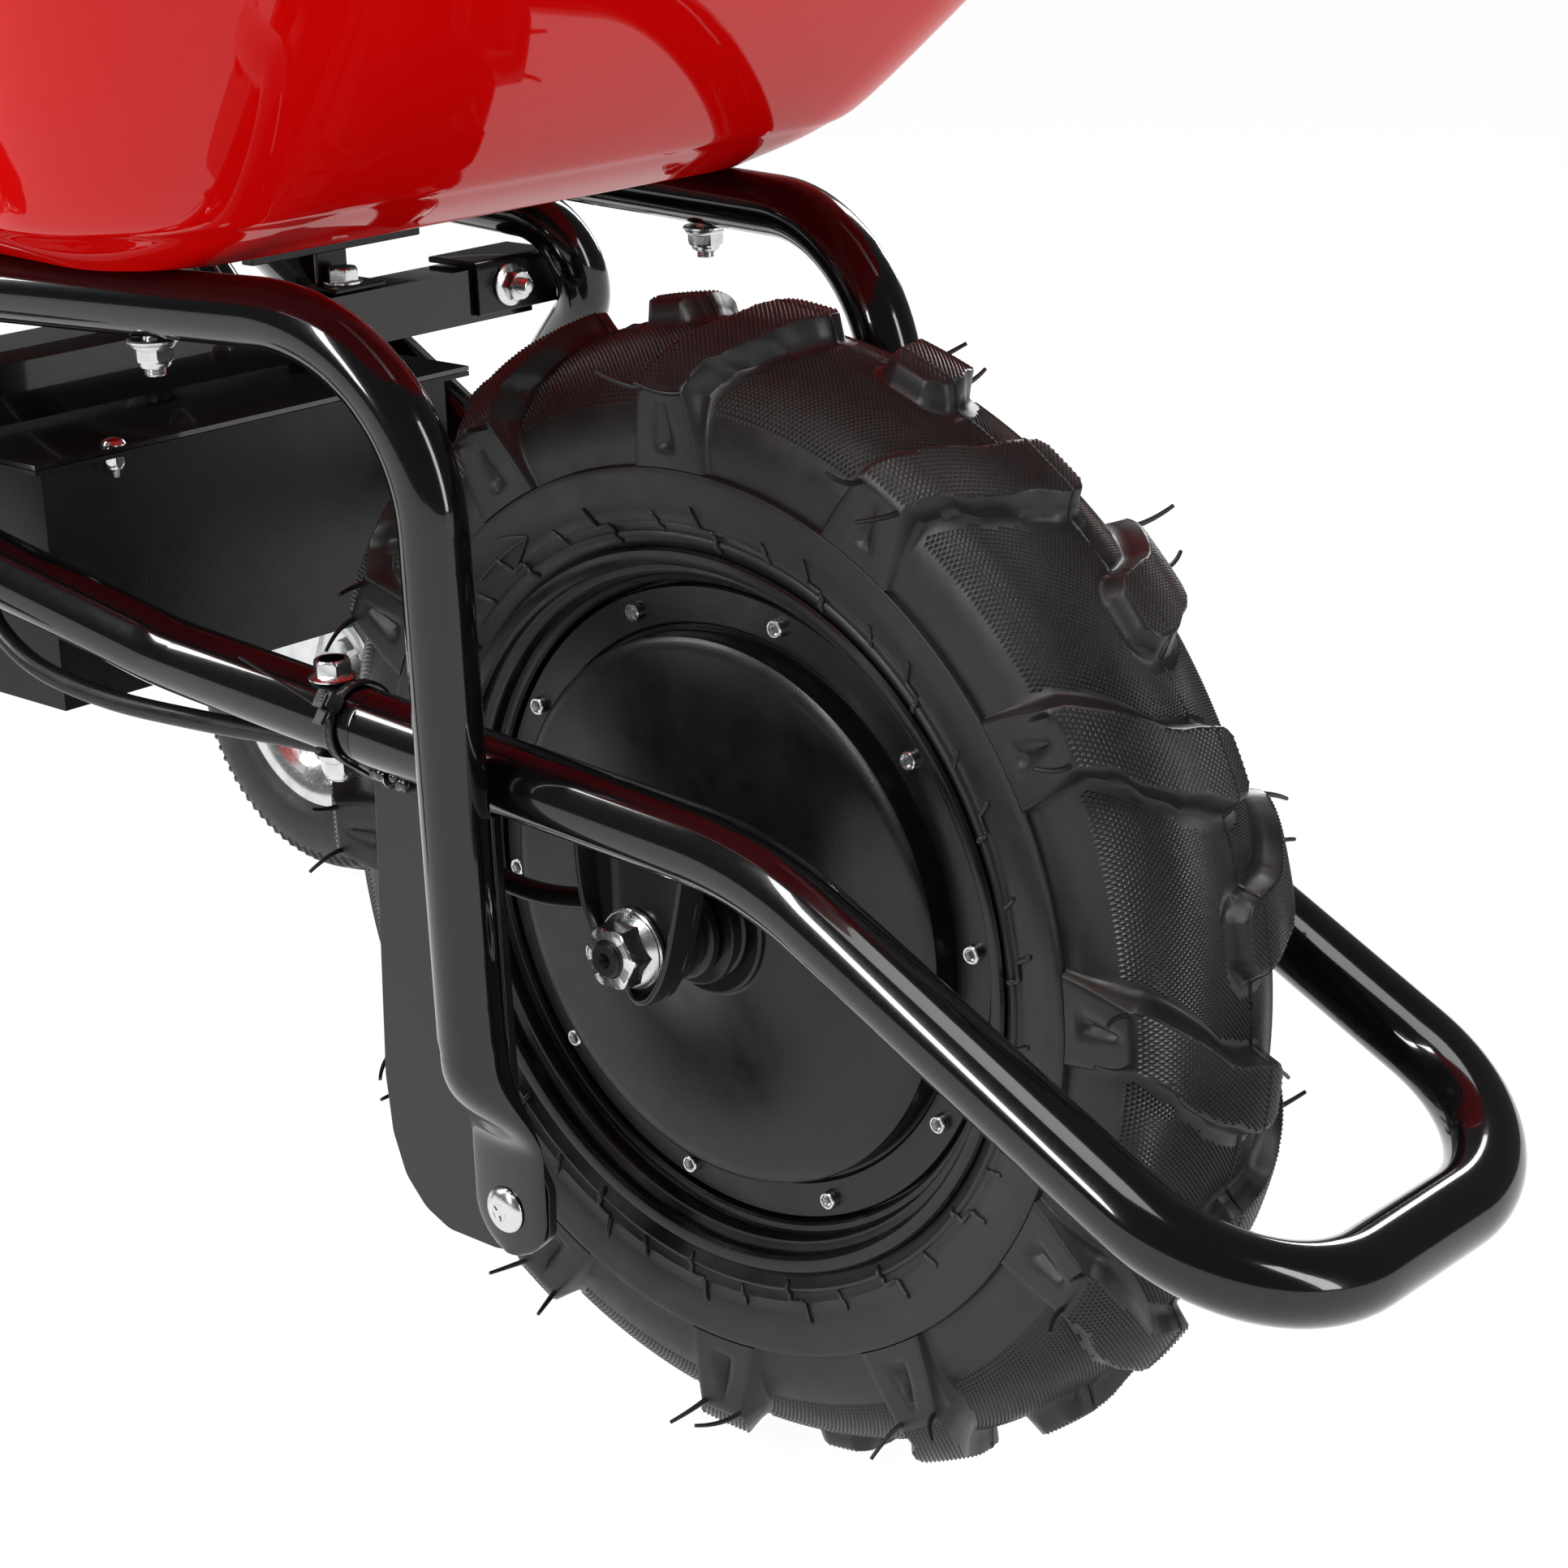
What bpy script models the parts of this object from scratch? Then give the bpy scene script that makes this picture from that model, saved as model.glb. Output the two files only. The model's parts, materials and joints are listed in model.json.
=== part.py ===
"""Power wheelbarrow: steel tray on a tube frame, hub-motor front wheel, battery box and two rear casters.

Built in millimetres with x across (0 in the middle plane), y towards the handles from the drive axle,
and z up from the ground. The front of the wheelbarrow points to -y. shift() then puts the origin under
the middle of the whole object and turns millimetres into metres.
"""

import math

import bmesh
import bpy
from mathutils import Matrix, Vector

for old in list(bpy.data.objects):
    bpy.data.objects.remove(old)

MIDDLE_Y = 375.4  # from the drive axle back to the middle of the object's length
RIGHT = -1  # the user's right hand, on the -x side
LEFT = 1
SIDES = {"right": RIGHT, "left": LEFT}

# Main sizes
WHEEL_R = 228.0  # a 4.00-10 tyre
AXLE_Z = WHEEL_R
TUBE_R = 14.3  # frame and handle tubes
SUPPORT_R = 12.7  # tray supports and legs
RIM_R = 141.0
CASTER_R = 111.0


def shift(point):
    return (point[0] / 1000, (point[1] - MIDDLE_Y) / 1000, point[2] / 1000)


def mesh_object(name, points, faces, matrix=None):
    """A closed mesh in the scene, its faces turned outwards."""
    if matrix is not None:
        points = [matrix @ Vector(p) for p in points]
    mesh = bpy.data.meshes.new(name)
    mesh.from_pydata([shift(p) for p in points], [], faces)
    shape = bmesh.new()
    shape.from_mesh(mesh)
    bmesh.ops.recalc_face_normals(shape, faces=shape.faces)
    shape.to_mesh(mesh)
    shape.free()
    made = bpy.data.objects.new(name, mesh)
    bpy.context.scene.collection.objects.link(made)
    return made


def helper(made):
    """Hides a shape that only cuts or joins another."""
    made.hide_render = True
    made.display_type = "WIRE"
    return made


def combine(base, other, how):
    modifier = base.modifiers.new(other.name, "BOOLEAN")
    modifier.operation = how
    modifier.solver = "EXACT"
    modifier.object = helper(other)


def block(name, low, high, matrix=None):
    """A rectangular solid between two corners."""
    xs, ys, zs = zip(low, high)
    points = [(x, y, z) for x in xs for y in ys for z in zs]
    faces = [(0, 1, 3, 2), (4, 6, 7, 5), (0, 4, 5, 1), (2, 3, 7, 6), (0, 2, 6, 4), (1, 5, 7, 3)]
    return mesh_object(name, points, faces, matrix)


def plate(name, outline, x_low, x_high):
    """A flat plate in the y-z plane, from x_low to x_high."""
    count = len(outline)
    points = [(x, y, z) for x in (x_low, x_high) for y, z in outline]
    faces = [tuple(range(count)), tuple(range(2 * count - 1, count - 1, -1))]
    for i in range(count):
        j = (i + 1) % count
        faces.append((i, j, count + j, count + i))
    return mesh_object(name, points, faces)


def box_tube(name, low, high, wall, along):
    """A straight rectangular tube, open at both ends, along axis 0, 1 or 2."""
    across = [axis for axis in range(3) if axis != along]
    points = []
    for end in (low[along], high[along]):
        for inset in (0, wall):
            for u, v in ((0, 0), (1, 0), (1, 1), (0, 1)):
                point = [0, 0, 0]
                point[along] = end
                point[across[0]] = (low, high)[u][across[0]] + inset * (1 - 2 * u)
                point[across[1]] = (low, high)[v][across[1]] + inset * (1 - 2 * v)
                points.append(point)
    faces = []
    for i in range(4):
        j = (i + 1) % 4
        faces.append((i, j, 4 + j, 4 + i))
        faces.append((8 + i, 12 + i, 12 + j, 8 + j))
        faces.append((i, 8 + i, 8 + j, j))
        faces.append((4 + i, 4 + j, 12 + j, 12 + i))
    return mesh_object(name, points, faces)


def rounded(corners, radii, steps):
    """A path through the corners, each inner one replaced by an arc."""
    corners = [Vector(c) for c in corners]
    path = [corners[0]]
    for before, corner, after, radius, count in zip(corners, corners[1:], corners[2:], radii, steps):
        into = (corner - before).normalized()
        out = (after - corner).normalized()
        turn = into.angle(out)
        start = corner - into * radius * math.tan(turn / 2)
        centre = corner + (out - into).normalized() * radius / math.cos(turn / 2)
        arm = (start - centre).normalized()
        for k in range(count + 1):
            angle = turn * k / count
            path.append(centre + radius * (math.cos(angle) * arm + math.sin(angle) * into))
    path.append(corners[-1])
    return path


def sweep(name, path, outer, bore=None, sides=10, normal=(1, 0, 0), turn=0.0):
    """A rod or tube along a path.

    outer holds one radius, or one (radius along the normal, radius across it) for each point.
    bore is (first point, last point, radius): it is open where it reaches an end of the path.
    """
    path = [Vector(p) for p in path]
    last = len(path) - 1
    if not isinstance(outer, list):
        outer = [outer] * len(path)
    frames = []
    side = Vector(normal)
    for i in range(len(path)):
        tangent = (path[min(i + 1, last)] - path[max(i - 1, 0)]).normalized()
        side = (side - tangent * side.dot(tangent)).normalized()
        frames.append((side.copy(), tangent.cross(side)))
    points = []

    def ring(i, size):
        a, b = size if isinstance(size, tuple) else (size, size)
        start = len(points)
        for k in range(sides):
            angle = 2 * math.pi * (k + turn) / sides
            u, v = frames[i]
            points.append(path[i] + u * a * math.cos(angle) + v * b * math.sin(angle))
        return list(range(start, start + sides))

    faces = []

    def join(one, two):
        for k in range(sides):
            n = (k + 1) % sides
            faces.append((one[k], one[n], two[n], two[k]))

    outside = [ring(i, outer[i]) for i in range(len(path))]
    for one, two in zip(outside, outside[1:]):
        join(one, two)
    if bore is None:
        faces.append(tuple(outside[0]))
        faces.append(tuple(outside[-1]))
        return mesh_object(name, points, faces)
    first, final, radius = bore
    inside = [ring(i, radius) for i in range(first, final + 1)]
    for one, two in zip(inside, inside[1:]):
        join(one, two)
    for at_end, near, far in ((first == 0, outside[0], inside[0]), (final == last, outside[-1], inside[-1])):
        if at_end:
            join(near, far)
        else:
            faces.append(tuple(near))
            faces.append(tuple(far))
    return mesh_object(name, points, faces)


def revolve(name, profile, centre, axis=(1, 0, 0), count=24, flats=None, bump=None):
    """A profile of (radius, distance along the axis) turned round it.

    flats lists the profile points whose radius is the half width across a hexagon's flats.
    bump(step, index) gives what to add to a point's radius and to its distance along the axis.
    """
    axis = Vector(axis).normalized()
    first = Vector((0, 0, 1)) if abs(axis.z) < 0.9 else Vector((0, 1, 0))
    first = (first - axis * first.dot(axis)).normalized()
    second = axis.cross(first)
    centre = Vector(centre)
    flats = flats or ()
    points = []
    rows = []
    for index, (radius, along) in enumerate(profile):
        if radius == 0:
            points.append(centre + axis * along)
            rows.append([len(points) - 1] * count)
            continue
        row = []
        for step in range(count):
            angle = 2 * math.pi * step / count
            r = radius
            if index in flats:
                r = radius / math.cos((angle + math.pi / 6) % (math.pi / 3) - math.pi / 6)
            a = along
            if bump:
                more_r, more_a = bump(step, index)
                r += more_r
                a += more_a
            points.append(centre + axis * a + r * (math.cos(angle) * first + math.sin(angle) * second))
            row.append(len(points) - 1)
        rows.append(row)
    faces = []
    touches_axis = profile[0][0] == 0
    pairs = list(zip(rows, rows[1:]))
    if not touches_axis:
        pairs.append((rows[-1], rows[0]))
    for one, two in pairs:
        for step in range(count):
            n = (step + 1) % count
            face = []
            for corner in (one[step], one[n], two[n], two[step]):
                if corner not in face:
                    face.append(corner)
            faces.append(tuple(face))
    return mesh_object(name, points, faces)


def drill(base, centre, axis, radius, length):
    """A round hole centred on a point."""
    half = length / 2
    profile = [(0, -half), (radius, -half), (radius, half), (0, half)]
    cutter = revolve(base.name + "_hole", profile, centre, axis, 12)
    combine(base, cutter, "DIFFERENCE")


# Frame: one bent loop round the front of the wheel, and a handle tube plugged into each end of it.
BEND = Vector((87, -74, 279))
JOINT = Vector((101.72, 105.5, 299.13))


def frame_line(y):
    """A point of the loop's straight rear part, on the left."""
    return BEND + (JOINT - BEND) * (y - BEND.y) / (JOINT.y - BEND.y)


def on_side(side, point):
    return Vector((side * point[0], point[1], point[2]))


loop_corners = [
    on_side(RIGHT, JOINT),
    on_side(RIGHT, BEND),
    (-87, -285, 169),
    (87, -285, 169),
    BEND,
    JOINT,
]
loop_path = rounded(loop_corners, [150, 60, 60, 150], [3, 4, 4, 3])
sweep("front_loop", loop_path, TUBE_R, (0, len(loop_path) - 1, 12.7), 10)

handle_bend = frame_line(215)
HANDLE_KNEE = Vector((222, 645, 455))
HANDLE_END = Vector((285, 1030, 690))
HANDLE_AXIS = (HANDLE_END - HANDLE_KNEE).normalized()
BOLT = frame_line(125.5)
for word, side in SIDES.items():
    corners = [frame_line(106), handle_bend, HANDLE_KNEE, HANDLE_END]
    path = rounded(corners, [90, 140], [3, 3])
    path = [frame_line(78), frame_line(105.7)] + path
    path = [on_side(side, p) for p in path]
    radii = [11.8, 11.8] + [TUBE_R] * (len(path) - 2)
    tube = sweep("handle_tube_" + word, path, radii, (0, len(path) - 1, 10.4), 10)
    drill(tube, on_side(side, BOLT), (0, 0, 1), 4.5, 60)
    middle = on_side(side, BOLT)
    bolt_profile = [
        (0, 22.5),
        (6.5, 22.5),
        (6.5, 16.6),
        (9.2, 16.4),
        (9.2, 14.9),
        (4.0, 14.9),
        (4.0, -15.0),
        (9.2, -15.0),
        (9.2, -16.6),
        (6.5, -16.8),
        (6.5, -23),
        (4.0, -23),
        (4.0, -26),
        (0, -26),
    ]
    revolve("joint_bolt_" + word, bolt_profile, middle, (0, 0, 1), 12, (1, 2, 9, 10))

# Tray supports: up beside the wheel, then back under the tray, their lower ends pressed flat.
SUPPORT_X = 124.6
SUPPORT_Z = 460.5
SPLAY = 0.17  # how far the supports spread for each millimetre back


def support_x(y):
    return SUPPORT_X + SPLAY * max(0, y - 40)


TRAY_BOLT_Y = 161
GUSSET_X = (97.0, 101.4)
SCREW = (44.5, 121)
for word, side in SIDES.items():
    low_end = [
        ((104.3, 44, 103), (2.4, 9)),
        ((104.3, 44, 107), (2.4, 15)),
        ((104.3, 44, 116), (2.4, 19.5)),
        ((104.3, 44, 148), (2.4, 19.5)),
        ((111.5, 41.5, 166), (8, 16)),
        ((121.2, 39.7, 186), (12, 13.2)),
    ]
    upper = rounded(
        [(SUPPORT_X - 1.9, 39.2, 200), (SUPPORT_X, 40, SUPPORT_Z), (support_x(520), 520, SUPPORT_Z)], [72], [6]
    )
    path = [on_side(side, p) for p, _ in low_end] + [on_side(side, p) for p in upper]
    sizes = [size for _, size in low_end] + [SUPPORT_R] * len(upper)
    bore = (len(low_end), len(path) - 1, 11.1)
    tube = sweep("support_tube_" + word, path, sizes, bore, 10)
    drill(tube, (side * 104, SCREW[0], SCREW[1]), (1, 0, 0), 4.5, 14)
    drill(tube, (side * support_x(TRAY_BOLT_Y), TRAY_BOLT_Y, SUPPORT_Z), (0, 0, 1), 4.5, 40)

    gusset_outline = [
        (44, 277),
        (108.6, 284.3),
        (115.5, 156),
        (113.5, 132),
        (107.5, 115),
        (97, 104),
        (84, 98.5),
        (58, 98.5),
        (38, 102),
        (27, 112),
        (26, 132),
        (43, 158),
    ]
    xs = sorted((side * GUSSET_X[0], side * GUSSET_X[1]))
    gusset = plate("gusset_plate_" + word, gusset_outline, xs[0], xs[1])
    drill(gusset, (side * 99, SCREW[0], SCREW[1]), (1, 0, 0), 4.5, 14)
    screw_profile = [
        (0, 111),
        (5.5, 110.4),
        (9.3, 107.2),
        (4.0, 107.2),
        (4.0, 96.6),
        (6.6, 96.6),
        (6.6, 90),
        (0, 90),
    ]
    screw_profile = [(r, side * x) for r, x in screw_profile]
    centre = (0, SCREW[0], SCREW[1])
    revolve("support_screw_" + word, screw_profile, centre, (1, 0, 0), 12, (5, 6))

# Drop-outs that carry the fixed axle under the loop.
for word, side in SIDES.items():
    outline = [
        (-36, 280),
        (24, 281.5),
        (22, 250),
        (18, 222),
        (9, 211),
        (-3, 207.5),
        (-14, 211),
        (-24, 226),
        (-31, 250),
    ]
    xs = sorted((side * 70.5, side * 74.5))
    bracket = plate("axle_bracket_" + word, outline, xs[0], xs[1])
    xs = sorted((side * 72, side * 81))
    front_lip = [(-35, 264), (-30.4, 250), (-23.4, 226), (-14, 211), (-11.6, 213.4), (-20.6, 227), (-27.6, 250), (-32, 264)]
    rear_lip = [(23, 274), (21.6, 250), (19.4, 232), (16.6, 232), (18.6, 250), (20, 274)]
    combine(bracket, plate(bracket.name + "_front_lip", front_lip, xs[0], xs[1]), "UNION")
    combine(bracket, plate(bracket.name + "_rear_lip", rear_lip, xs[0], xs[1]), "UNION")
    drill(bracket, (side * 72, 0, AXLE_Z), (1, 0, 0), 7.6, 14)
    nut_profile = [(7.5, 74.9), (15.5, 74.9), (15.5, 77.4), (11.2, 78.2), (11.2, 88.4), (9.8, 89.4), (7.5, 89.4)]
    nut_profile = [(r, side * x) for r, x in nut_profile]
    revolve("axle_nut_" + word, nut_profile, (0, 0, AXLE_Z), (1, 0, 0), 12, (3, 4))

axle_half = [(9.8, 22), (8.0, 22), (8.0, 48.5), (12, 48.5), (12, 70.1), (7, 70.1), (7, 91.5), (0, 92)]
axle_profile = [(r, -x) for r, x in reversed(axle_half)] + axle_half
revolve("axle", axle_profile, (0, 0, AXLE_Z), (1, 0, 0), 16)
stator_profile = [(10.2, -14), (22, -14), (22, -2.5), (70, -2.5), (70, -12), (104, -12)]
stator_profile = stator_profile + [(r, -x) for r, x in reversed(stator_profile)]
revolve("stator", stator_profile, (0, 0, AXLE_Z), (1, 0, 0), 20)

# Drive wheel: the motor's outer shell is the rim.
rim_half = [
    (112, 16.3),
    (124.5, 16.3),
    (126, 24),
    (127, 30),
    (131, 34.6),
    (136, 37),
    (RIM_R, 37),
    (RIM_R, 34.8),
    (133, 32.6),
    (129.2, 30.9),
    (128, 14),
    (119, 8),
]
rim_profile = rim_half + [(r, -x) for r, x in reversed(rim_half)]
revolve("hub_rim", rim_profile, (0, 0, AXLE_Z), (1, 0, 0), 28)
for word, side in SIDES.items():
    cover_profile = [
        (8.6, 24),
        (100, 24),
        (104, 16.7),
        (123.6, 16.7),
        (124.6, 21.6),
        (108, 21.6),
        (106.4, 31),
        (103, 32.6),
        (60, 34.6),
        (26, 36),
        (24, 47.5),
        (8.6, 47.5),
    ]
    cover_profile = [(r, side * x) for r, x in cover_profile]
    revolve("motor_cover_" + word, cover_profile, (0, 0, AXLE_Z), (1, 0, 0), 28)

tyre_outer = [
    (129.6, 30.6),
    (142, 33.9),
    (158, 41.5),
    (172, 42.5),
    (202, 45),
    (212.8, 36.8),
    (221, 26),
    (WHEEL_R, 0),
]
tyre_inner = [(208, 14), (196, 28), (160, 32), (129.6, 22)]
tyre_profile = [(r, -x) for r, x in tyre_outer]
tyre_profile += [(r, x) for r, x in reversed(tyre_outer[:-1])]
tyre_profile += [(r, x) for r, x in reversed(tyre_inner)]
tyre_profile += [(r, -x) for r, x in tyre_inner]
LUG_STEPS = 6
# Which steps of each pitch a right-hand lug covers, from its shoulder to the crown, and how far
# the groove beside it lies below the lug's top: down, and in from the side
LUG_SHAPE = {4: ((5, 0, 1), -12.6, 6.4), 5: ((0, 1), -13.8, 2.2), 6: ((0, 1), -11.6, 0), 7: ((1, 2), -9, 0)}


def lug(step, index):
    """Grooves between the slanting lugs, which are half a pitch apart on the two shoulders."""
    right = index in LUG_SHAPE
    left = 14 - index in LUG_SHAPE
    if not (right or left):
        return 0, 0
    covered, down, inward = LUG_SHAPE[index if right else 14 - index]
    on_right = right and step % LUG_STEPS in covered
    on_left = left and (step + 3) % LUG_STEPS in covered
    if on_right or on_left:
        return 0, 0
    return down, inward if right else -inward


revolve("drive_tyre", tyre_profile, (0, 0, AXLE_Z), (1, 0, 0), 12 * LUG_STEPS, bump=lug)

# Cross members between the supports
CROSS_Y = 346
box_tube("crossmember_front", (-217, CROSS_Y, 381), (217, CROSS_Y + 25, 406), 2, 0)
rear_member = box_tube("crossmember_rear", (-212, 467.5, 421.9), (212, 492.5, 446.9), 2, 0)
REAR_BOLT = (95, 480)
for side in SIDES.values():
    x = side * REAR_BOLT[0]
    sleeve = [(0, 445), (8, 445), (8, 473.2), (0, 473.2)]
    combine(rear_member, revolve("rear_sleeve", sleeve, (x, REAR_BOLT[1], 0), (0, 0, 1), 12), "UNION")
for side in SIDES.values():
    drill(rear_member, (side * REAR_BOLT[0], REAR_BOLT[1], 447), (0, 0, 1), 4.5, 70)
clip_outline = [(342.6, 384), (345.7, 384), (345.7, 406.4), (384, 406.4), (384, 409.4), (342.6, 409.4)]
clip = plate("clip_bracket", clip_outline, 139, 216)
drill(clip, (200, 344, 396.5), (0, 1, 0), 4.3, 12)
clip_bolt = [(0, -16), (4, -16), (4, -10), (6.5, -10), (6.5, -4), (9, -3.6), (9, -1.7), (3.9, -1.7), (3.9, 1.9), (0, 1.9)]
revolve("clip_bolt", clip_bolt, (200, 344, 396.5), (0, 1, 0), 12, (3, 4))

# Legs: from the rear cross member forward, down, back along the caster plate and up to the handle.
for word, side in SIDES.items():
    corners = [(226, 505, 434), (220, 280, 424), (272, 452, 275), (320, 650, 275), (249, 752, 488)]
    corners = [on_side(side, c) for c in corners]
    path = rounded(corners, [30, 70, 60], [5, 3, 3])
    sweep("leg_" + word, path, SUPPORT_R, (0, len(path) - 1, 11.1), 10)

# Casters
SWIVEL = Vector((330, 600, 0))
CASTER = Vector((330, 644, CASTER_R))
for word, side in SIDES.items():
    pivot = on_side(side, SWIVEL)
    hub = on_side(side, CASTER)
    block(
        "caster_plate_" + word,
        (pivot.x - 42, pivot.y - 45, 257.6),
        (pivot.x + 42, pivot.y + 45, 261.6),
    )
    fork = block("caster_fork_" + word, (hub.x - 46, pivot.y - 26, 230), (hub.x + 46, pivot.y + 30, 236))
    leg_outline = [(-26, 236), (30, 236), (62, 112), (54, 98), (38, 96), (29, 106)]
    leg_outline = [(pivot.y + y, z) for y, z in leg_outline]
    for inner, outer in ((-46, -42), (42, 46)):
        arm = plate(fork.name + "_arm", leg_outline, hub.x + inner, hub.x + outer)
        combine(fork, arm, "UNION")
        drill(fork, (hub.x + inner + 2, hub.y, hub.z), (1, 0, 0), 6.2, 12)
    race = [(0, 233), (34, 233), (34, 246), (27, 252), (27, 257.2), (0, 257.2)]
    combine(fork, revolve(fork.name + "_race", race, (pivot.x, pivot.y, 0), (0, 0, 1), 20), "UNION")
    bolt = [
        (0, 54),
        (7.5, 54),
        (7.5, 46.4),
        (6, 46.4),
        (6, -46.4),
        (9, -46.4),
        (9, -53),
        (0, -53),
    ]
    bolt = [(r, side * x) for r, x in bolt]
    revolve("caster_axle_" + word, bolt, hub, (1, 0, 0), 12)
    half = [(6.3, 38), (15, 38), (15, 16), (30, 9), (46, 12), (53, 22), (62, 25.5), (65, 25.5), (54, 16)]
    profile = half + [(r, -x) for r, x in reversed(half)]
    revolve("caster_rim_" + word, profile, hub, (1, 0, 0), 20)
    outer = [(54.9, 14.6), (66.5, 24.8), (74, 31), (92, 32), (106, 22), (CASTER_R, 8)]
    inner = [(101, 8), (88, 23), (66, 18)]
    profile = [(r, -x) for r, x in outer] + [(r, x) for r, x in reversed(outer)]
    profile += [(r, x) for r, x in reversed(inner)]
    profile += [(r, -x) for r, x in inner]
    revolve("caster_tyre_" + word, profile, hub, (1, 0, 0), 24)

# Battery box and what is inside it
box_points = []
levels = [(117, 283, 529, 374), (117, 283, 529, 376), (107, 293, 519, 376), (107, 293, 519, 275)]
levels += [(109, 291, 521, 273), (109, 291, 521, 374)]
for half_width, front, rear, z in levels:
    box_points += [(-half_width, front, z), (half_width, front, z), (half_width, rear, z), (-half_width, rear, z)]
box_faces = []
ring_order = [(0, 1), (1, 2), (2, 3), (5, 0), (4, 5)]
for one, two in ring_order:
    for i in range(4):
        j = (i + 1) % 4
        box_faces.append((4 * one + i, 4 * one + j, 4 * two + j, 4 * two + i))
box_faces.append((12, 13, 14, 15))
box_faces.append((16, 17, 18, 19))
mesh_object("battery_box", box_points, box_faces)
block("battery_box_lid", (-117, 283, 376.4), (117, 529, 378.4))
block("battery_right", (-100.5, 298, 275.5), (-2, 449, 371))
block("battery_left", (2, 298, 275.5), (100.5, 449, 371))
block("motor_controller", (-60, 458, 275.5), (60, 510, 330))
for word, y, top in (("front", 400, 396.5), ("rear", 515, 435)):
    reach = 178 if word == "front" else 205
    outline = [(-reach, top), (-119.5, top), (-119.5, 272), (119.5, 272), (119.5, top), (reach, top)]
    inner = [(reach, top - 3), (122.5, top - 3), (122.5, 269), (-122.5, 269), (-122.5, top - 3), (-reach, top - 3)]
    strap_points = [(x, yy, z) for yy in (y - 12, y + 12) for x, z in outline + inner]
    pairs = [(0, 1, 10, 11), (1, 2, 9, 10), (2, 3, 8, 9), (3, 4, 7, 8), (4, 5, 6, 7)]
    strap_faces = list(pairs) + [tuple(12 + i for i in reversed(pair)) for pair in pairs]
    for i in range(12):
        j = (i + 1) % 12
        strap_faces.append((i, 12 + i, 12 + j, j))
    mesh_object("box_strap_" + word, strap_points, strap_faces)

# Motor cable, from the axle's inner end to the box, held to the right handle tube by a tie
cable_points = [
    (-59, 14, 240),
    (-62, 31, 236),
    (-70, 56, 235.5),
    (-77, 78, 243),
    (-83.4, 95, 262),
    (-87.6, 107, 276.4),
    (-87.9, 119, 276.9),
    (-88.8, 132, 280.2),
    (-97, 158, 284),
    (-109, 200, 286),
    (-119, 245, 289),
    (-126, 280, 297),
    (-124.5, 308, 308),
    (-118, 326, 318.5),
    (-114.5, 328, 320),
    (-109.5, 328, 320),
]
sweep("motor_cable", cable_points, 4.2, None, 8, (0, 0, 1))

tie_centre = on_side(RIGHT, frame_line(113))
tie_points = []
CABLE_AT_TIE = Vector((14.7, -23.4))
tie_faces = []
for y in (-2.3, 2.3):
    for grow in (0, 1.4):
        for k in range(16):
            angle = 2 * math.pi * k / 16
            way = Vector((math.cos(angle), math.sin(angle)))
            # The band lies on the cable where it faces it, and on the tube elsewhere
            if way.dot(CABLE_AT_TIE.normalized()) > 0.36:
                spot = CABLE_AT_TIE + way * (5.2 + grow)
            else:
                spot = way * (15.2 + grow)
            tie_points.append(tie_centre + Vector((spot.x, y, spot.y)))
for k in range(16):
    n = (k + 1) % 16
    for one, two in ((0, 16), (16, 48), (48, 32), (32, 0)):
        tie_faces.append((one + k, one + n, two + n, two + k))
tie = mesh_object("cable_tie", tie_points, tie_faces)
head = block("cable_tie_head", (-3.5, -4, -3), (3.5, 4, 3), Matrix.Translation(tie_centre + Vector((-15.2, 0, 13.0))))
combine(tie, head, "UNION")

# Tray: a pressed steel pan with a rolled edge
WALL = 1.6


def tray_outline(front, rear, half_front, half_rear, corner):
    """A rounded four-sided outline, wider at the rear than at the front."""
    ends = [(-half_front, front), (half_front, front), (half_rear, rear), (-half_rear, rear)]
    outline = []
    for k, (x, y) in enumerate(ends):
        here = Vector((x, y))
        back = (Vector(ends[k - 1]) - here).normalized()
        ahead = (Vector(ends[(k + 1) % 4]) - here).normalized()
        bend = math.pi - back.angle(ahead)
        reach = corner * math.tan(bend / 2)
        centre = here + (back + ahead).normalized() * corner / math.cos(bend / 2)
        start = here + back * reach
        arm = (start - centre).normalized()
        for step in range(6):
            angle = bend * step / 5
            outline.append(centre + corner * (math.cos(angle) * arm - math.sin(angle) * back))
    return outline


# front, rear, half width at the front, half width at the rear, corner radius, height
TRAY_LEVELS = [
    (140, 585, 165, 118, 36, 473.6),
    (126, 598, 178, 134, 50, 477.5),
    (100, 612, 202, 160, 66, 490),
    (74, 627, 218, 190, 74, 510),
    (-30, 675, 268, 292, 108, 612),
    (-150, 728, 334, 340, 150, 732),
]
tray_rows = []
for front, rear, half_front, half_rear, corner, z in TRAY_LEVELS:
    tray_rows.append([(p.x, p.y, z) for p in tray_outline(front, rear, half_front, half_rear, corner)])


def edge_row(out, z):
    front, rear, half_front, half_rear, corner, _ = TRAY_LEVELS[-1]
    outline = tray_outline(front - out, rear + out, half_front + out, half_rear + out, corner + out)
    return [(p.x, p.y, z) for p in outline]


for out, z in ((9, 731), (13, 737), (9, 743.5), (2, 744), (-1.8, 740)):
    tray_rows.append(edge_row(out, z))
for front, rear, half_front, half_rear, corner, z in reversed(TRAY_LEVELS):
    sloped = WALL * 1.3
    outline = tray_outline(front + sloped, rear - sloped, half_front - sloped, half_rear - sloped, corner - sloped)
    lift = WALL if z < 500 else 0.4
    tray_rows.append([(p.x, p.y, z + lift) for p in outline])
tray_points = [p for row in tray_rows for p in row]
per_row = len(tray_rows[0])
tray_faces = []
for row in range(len(tray_rows) - 1):
    for i in range(per_row):
        j = (i + 1) % per_row
        a = row * per_row
        b = a + per_row
        tray_faces.append((a + i, a + j, b + j, b + i))
tray_faces.append(tuple(range(per_row)))
tray_faces.append(tuple(range(len(tray_points) - per_row, len(tray_points))))
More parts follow.
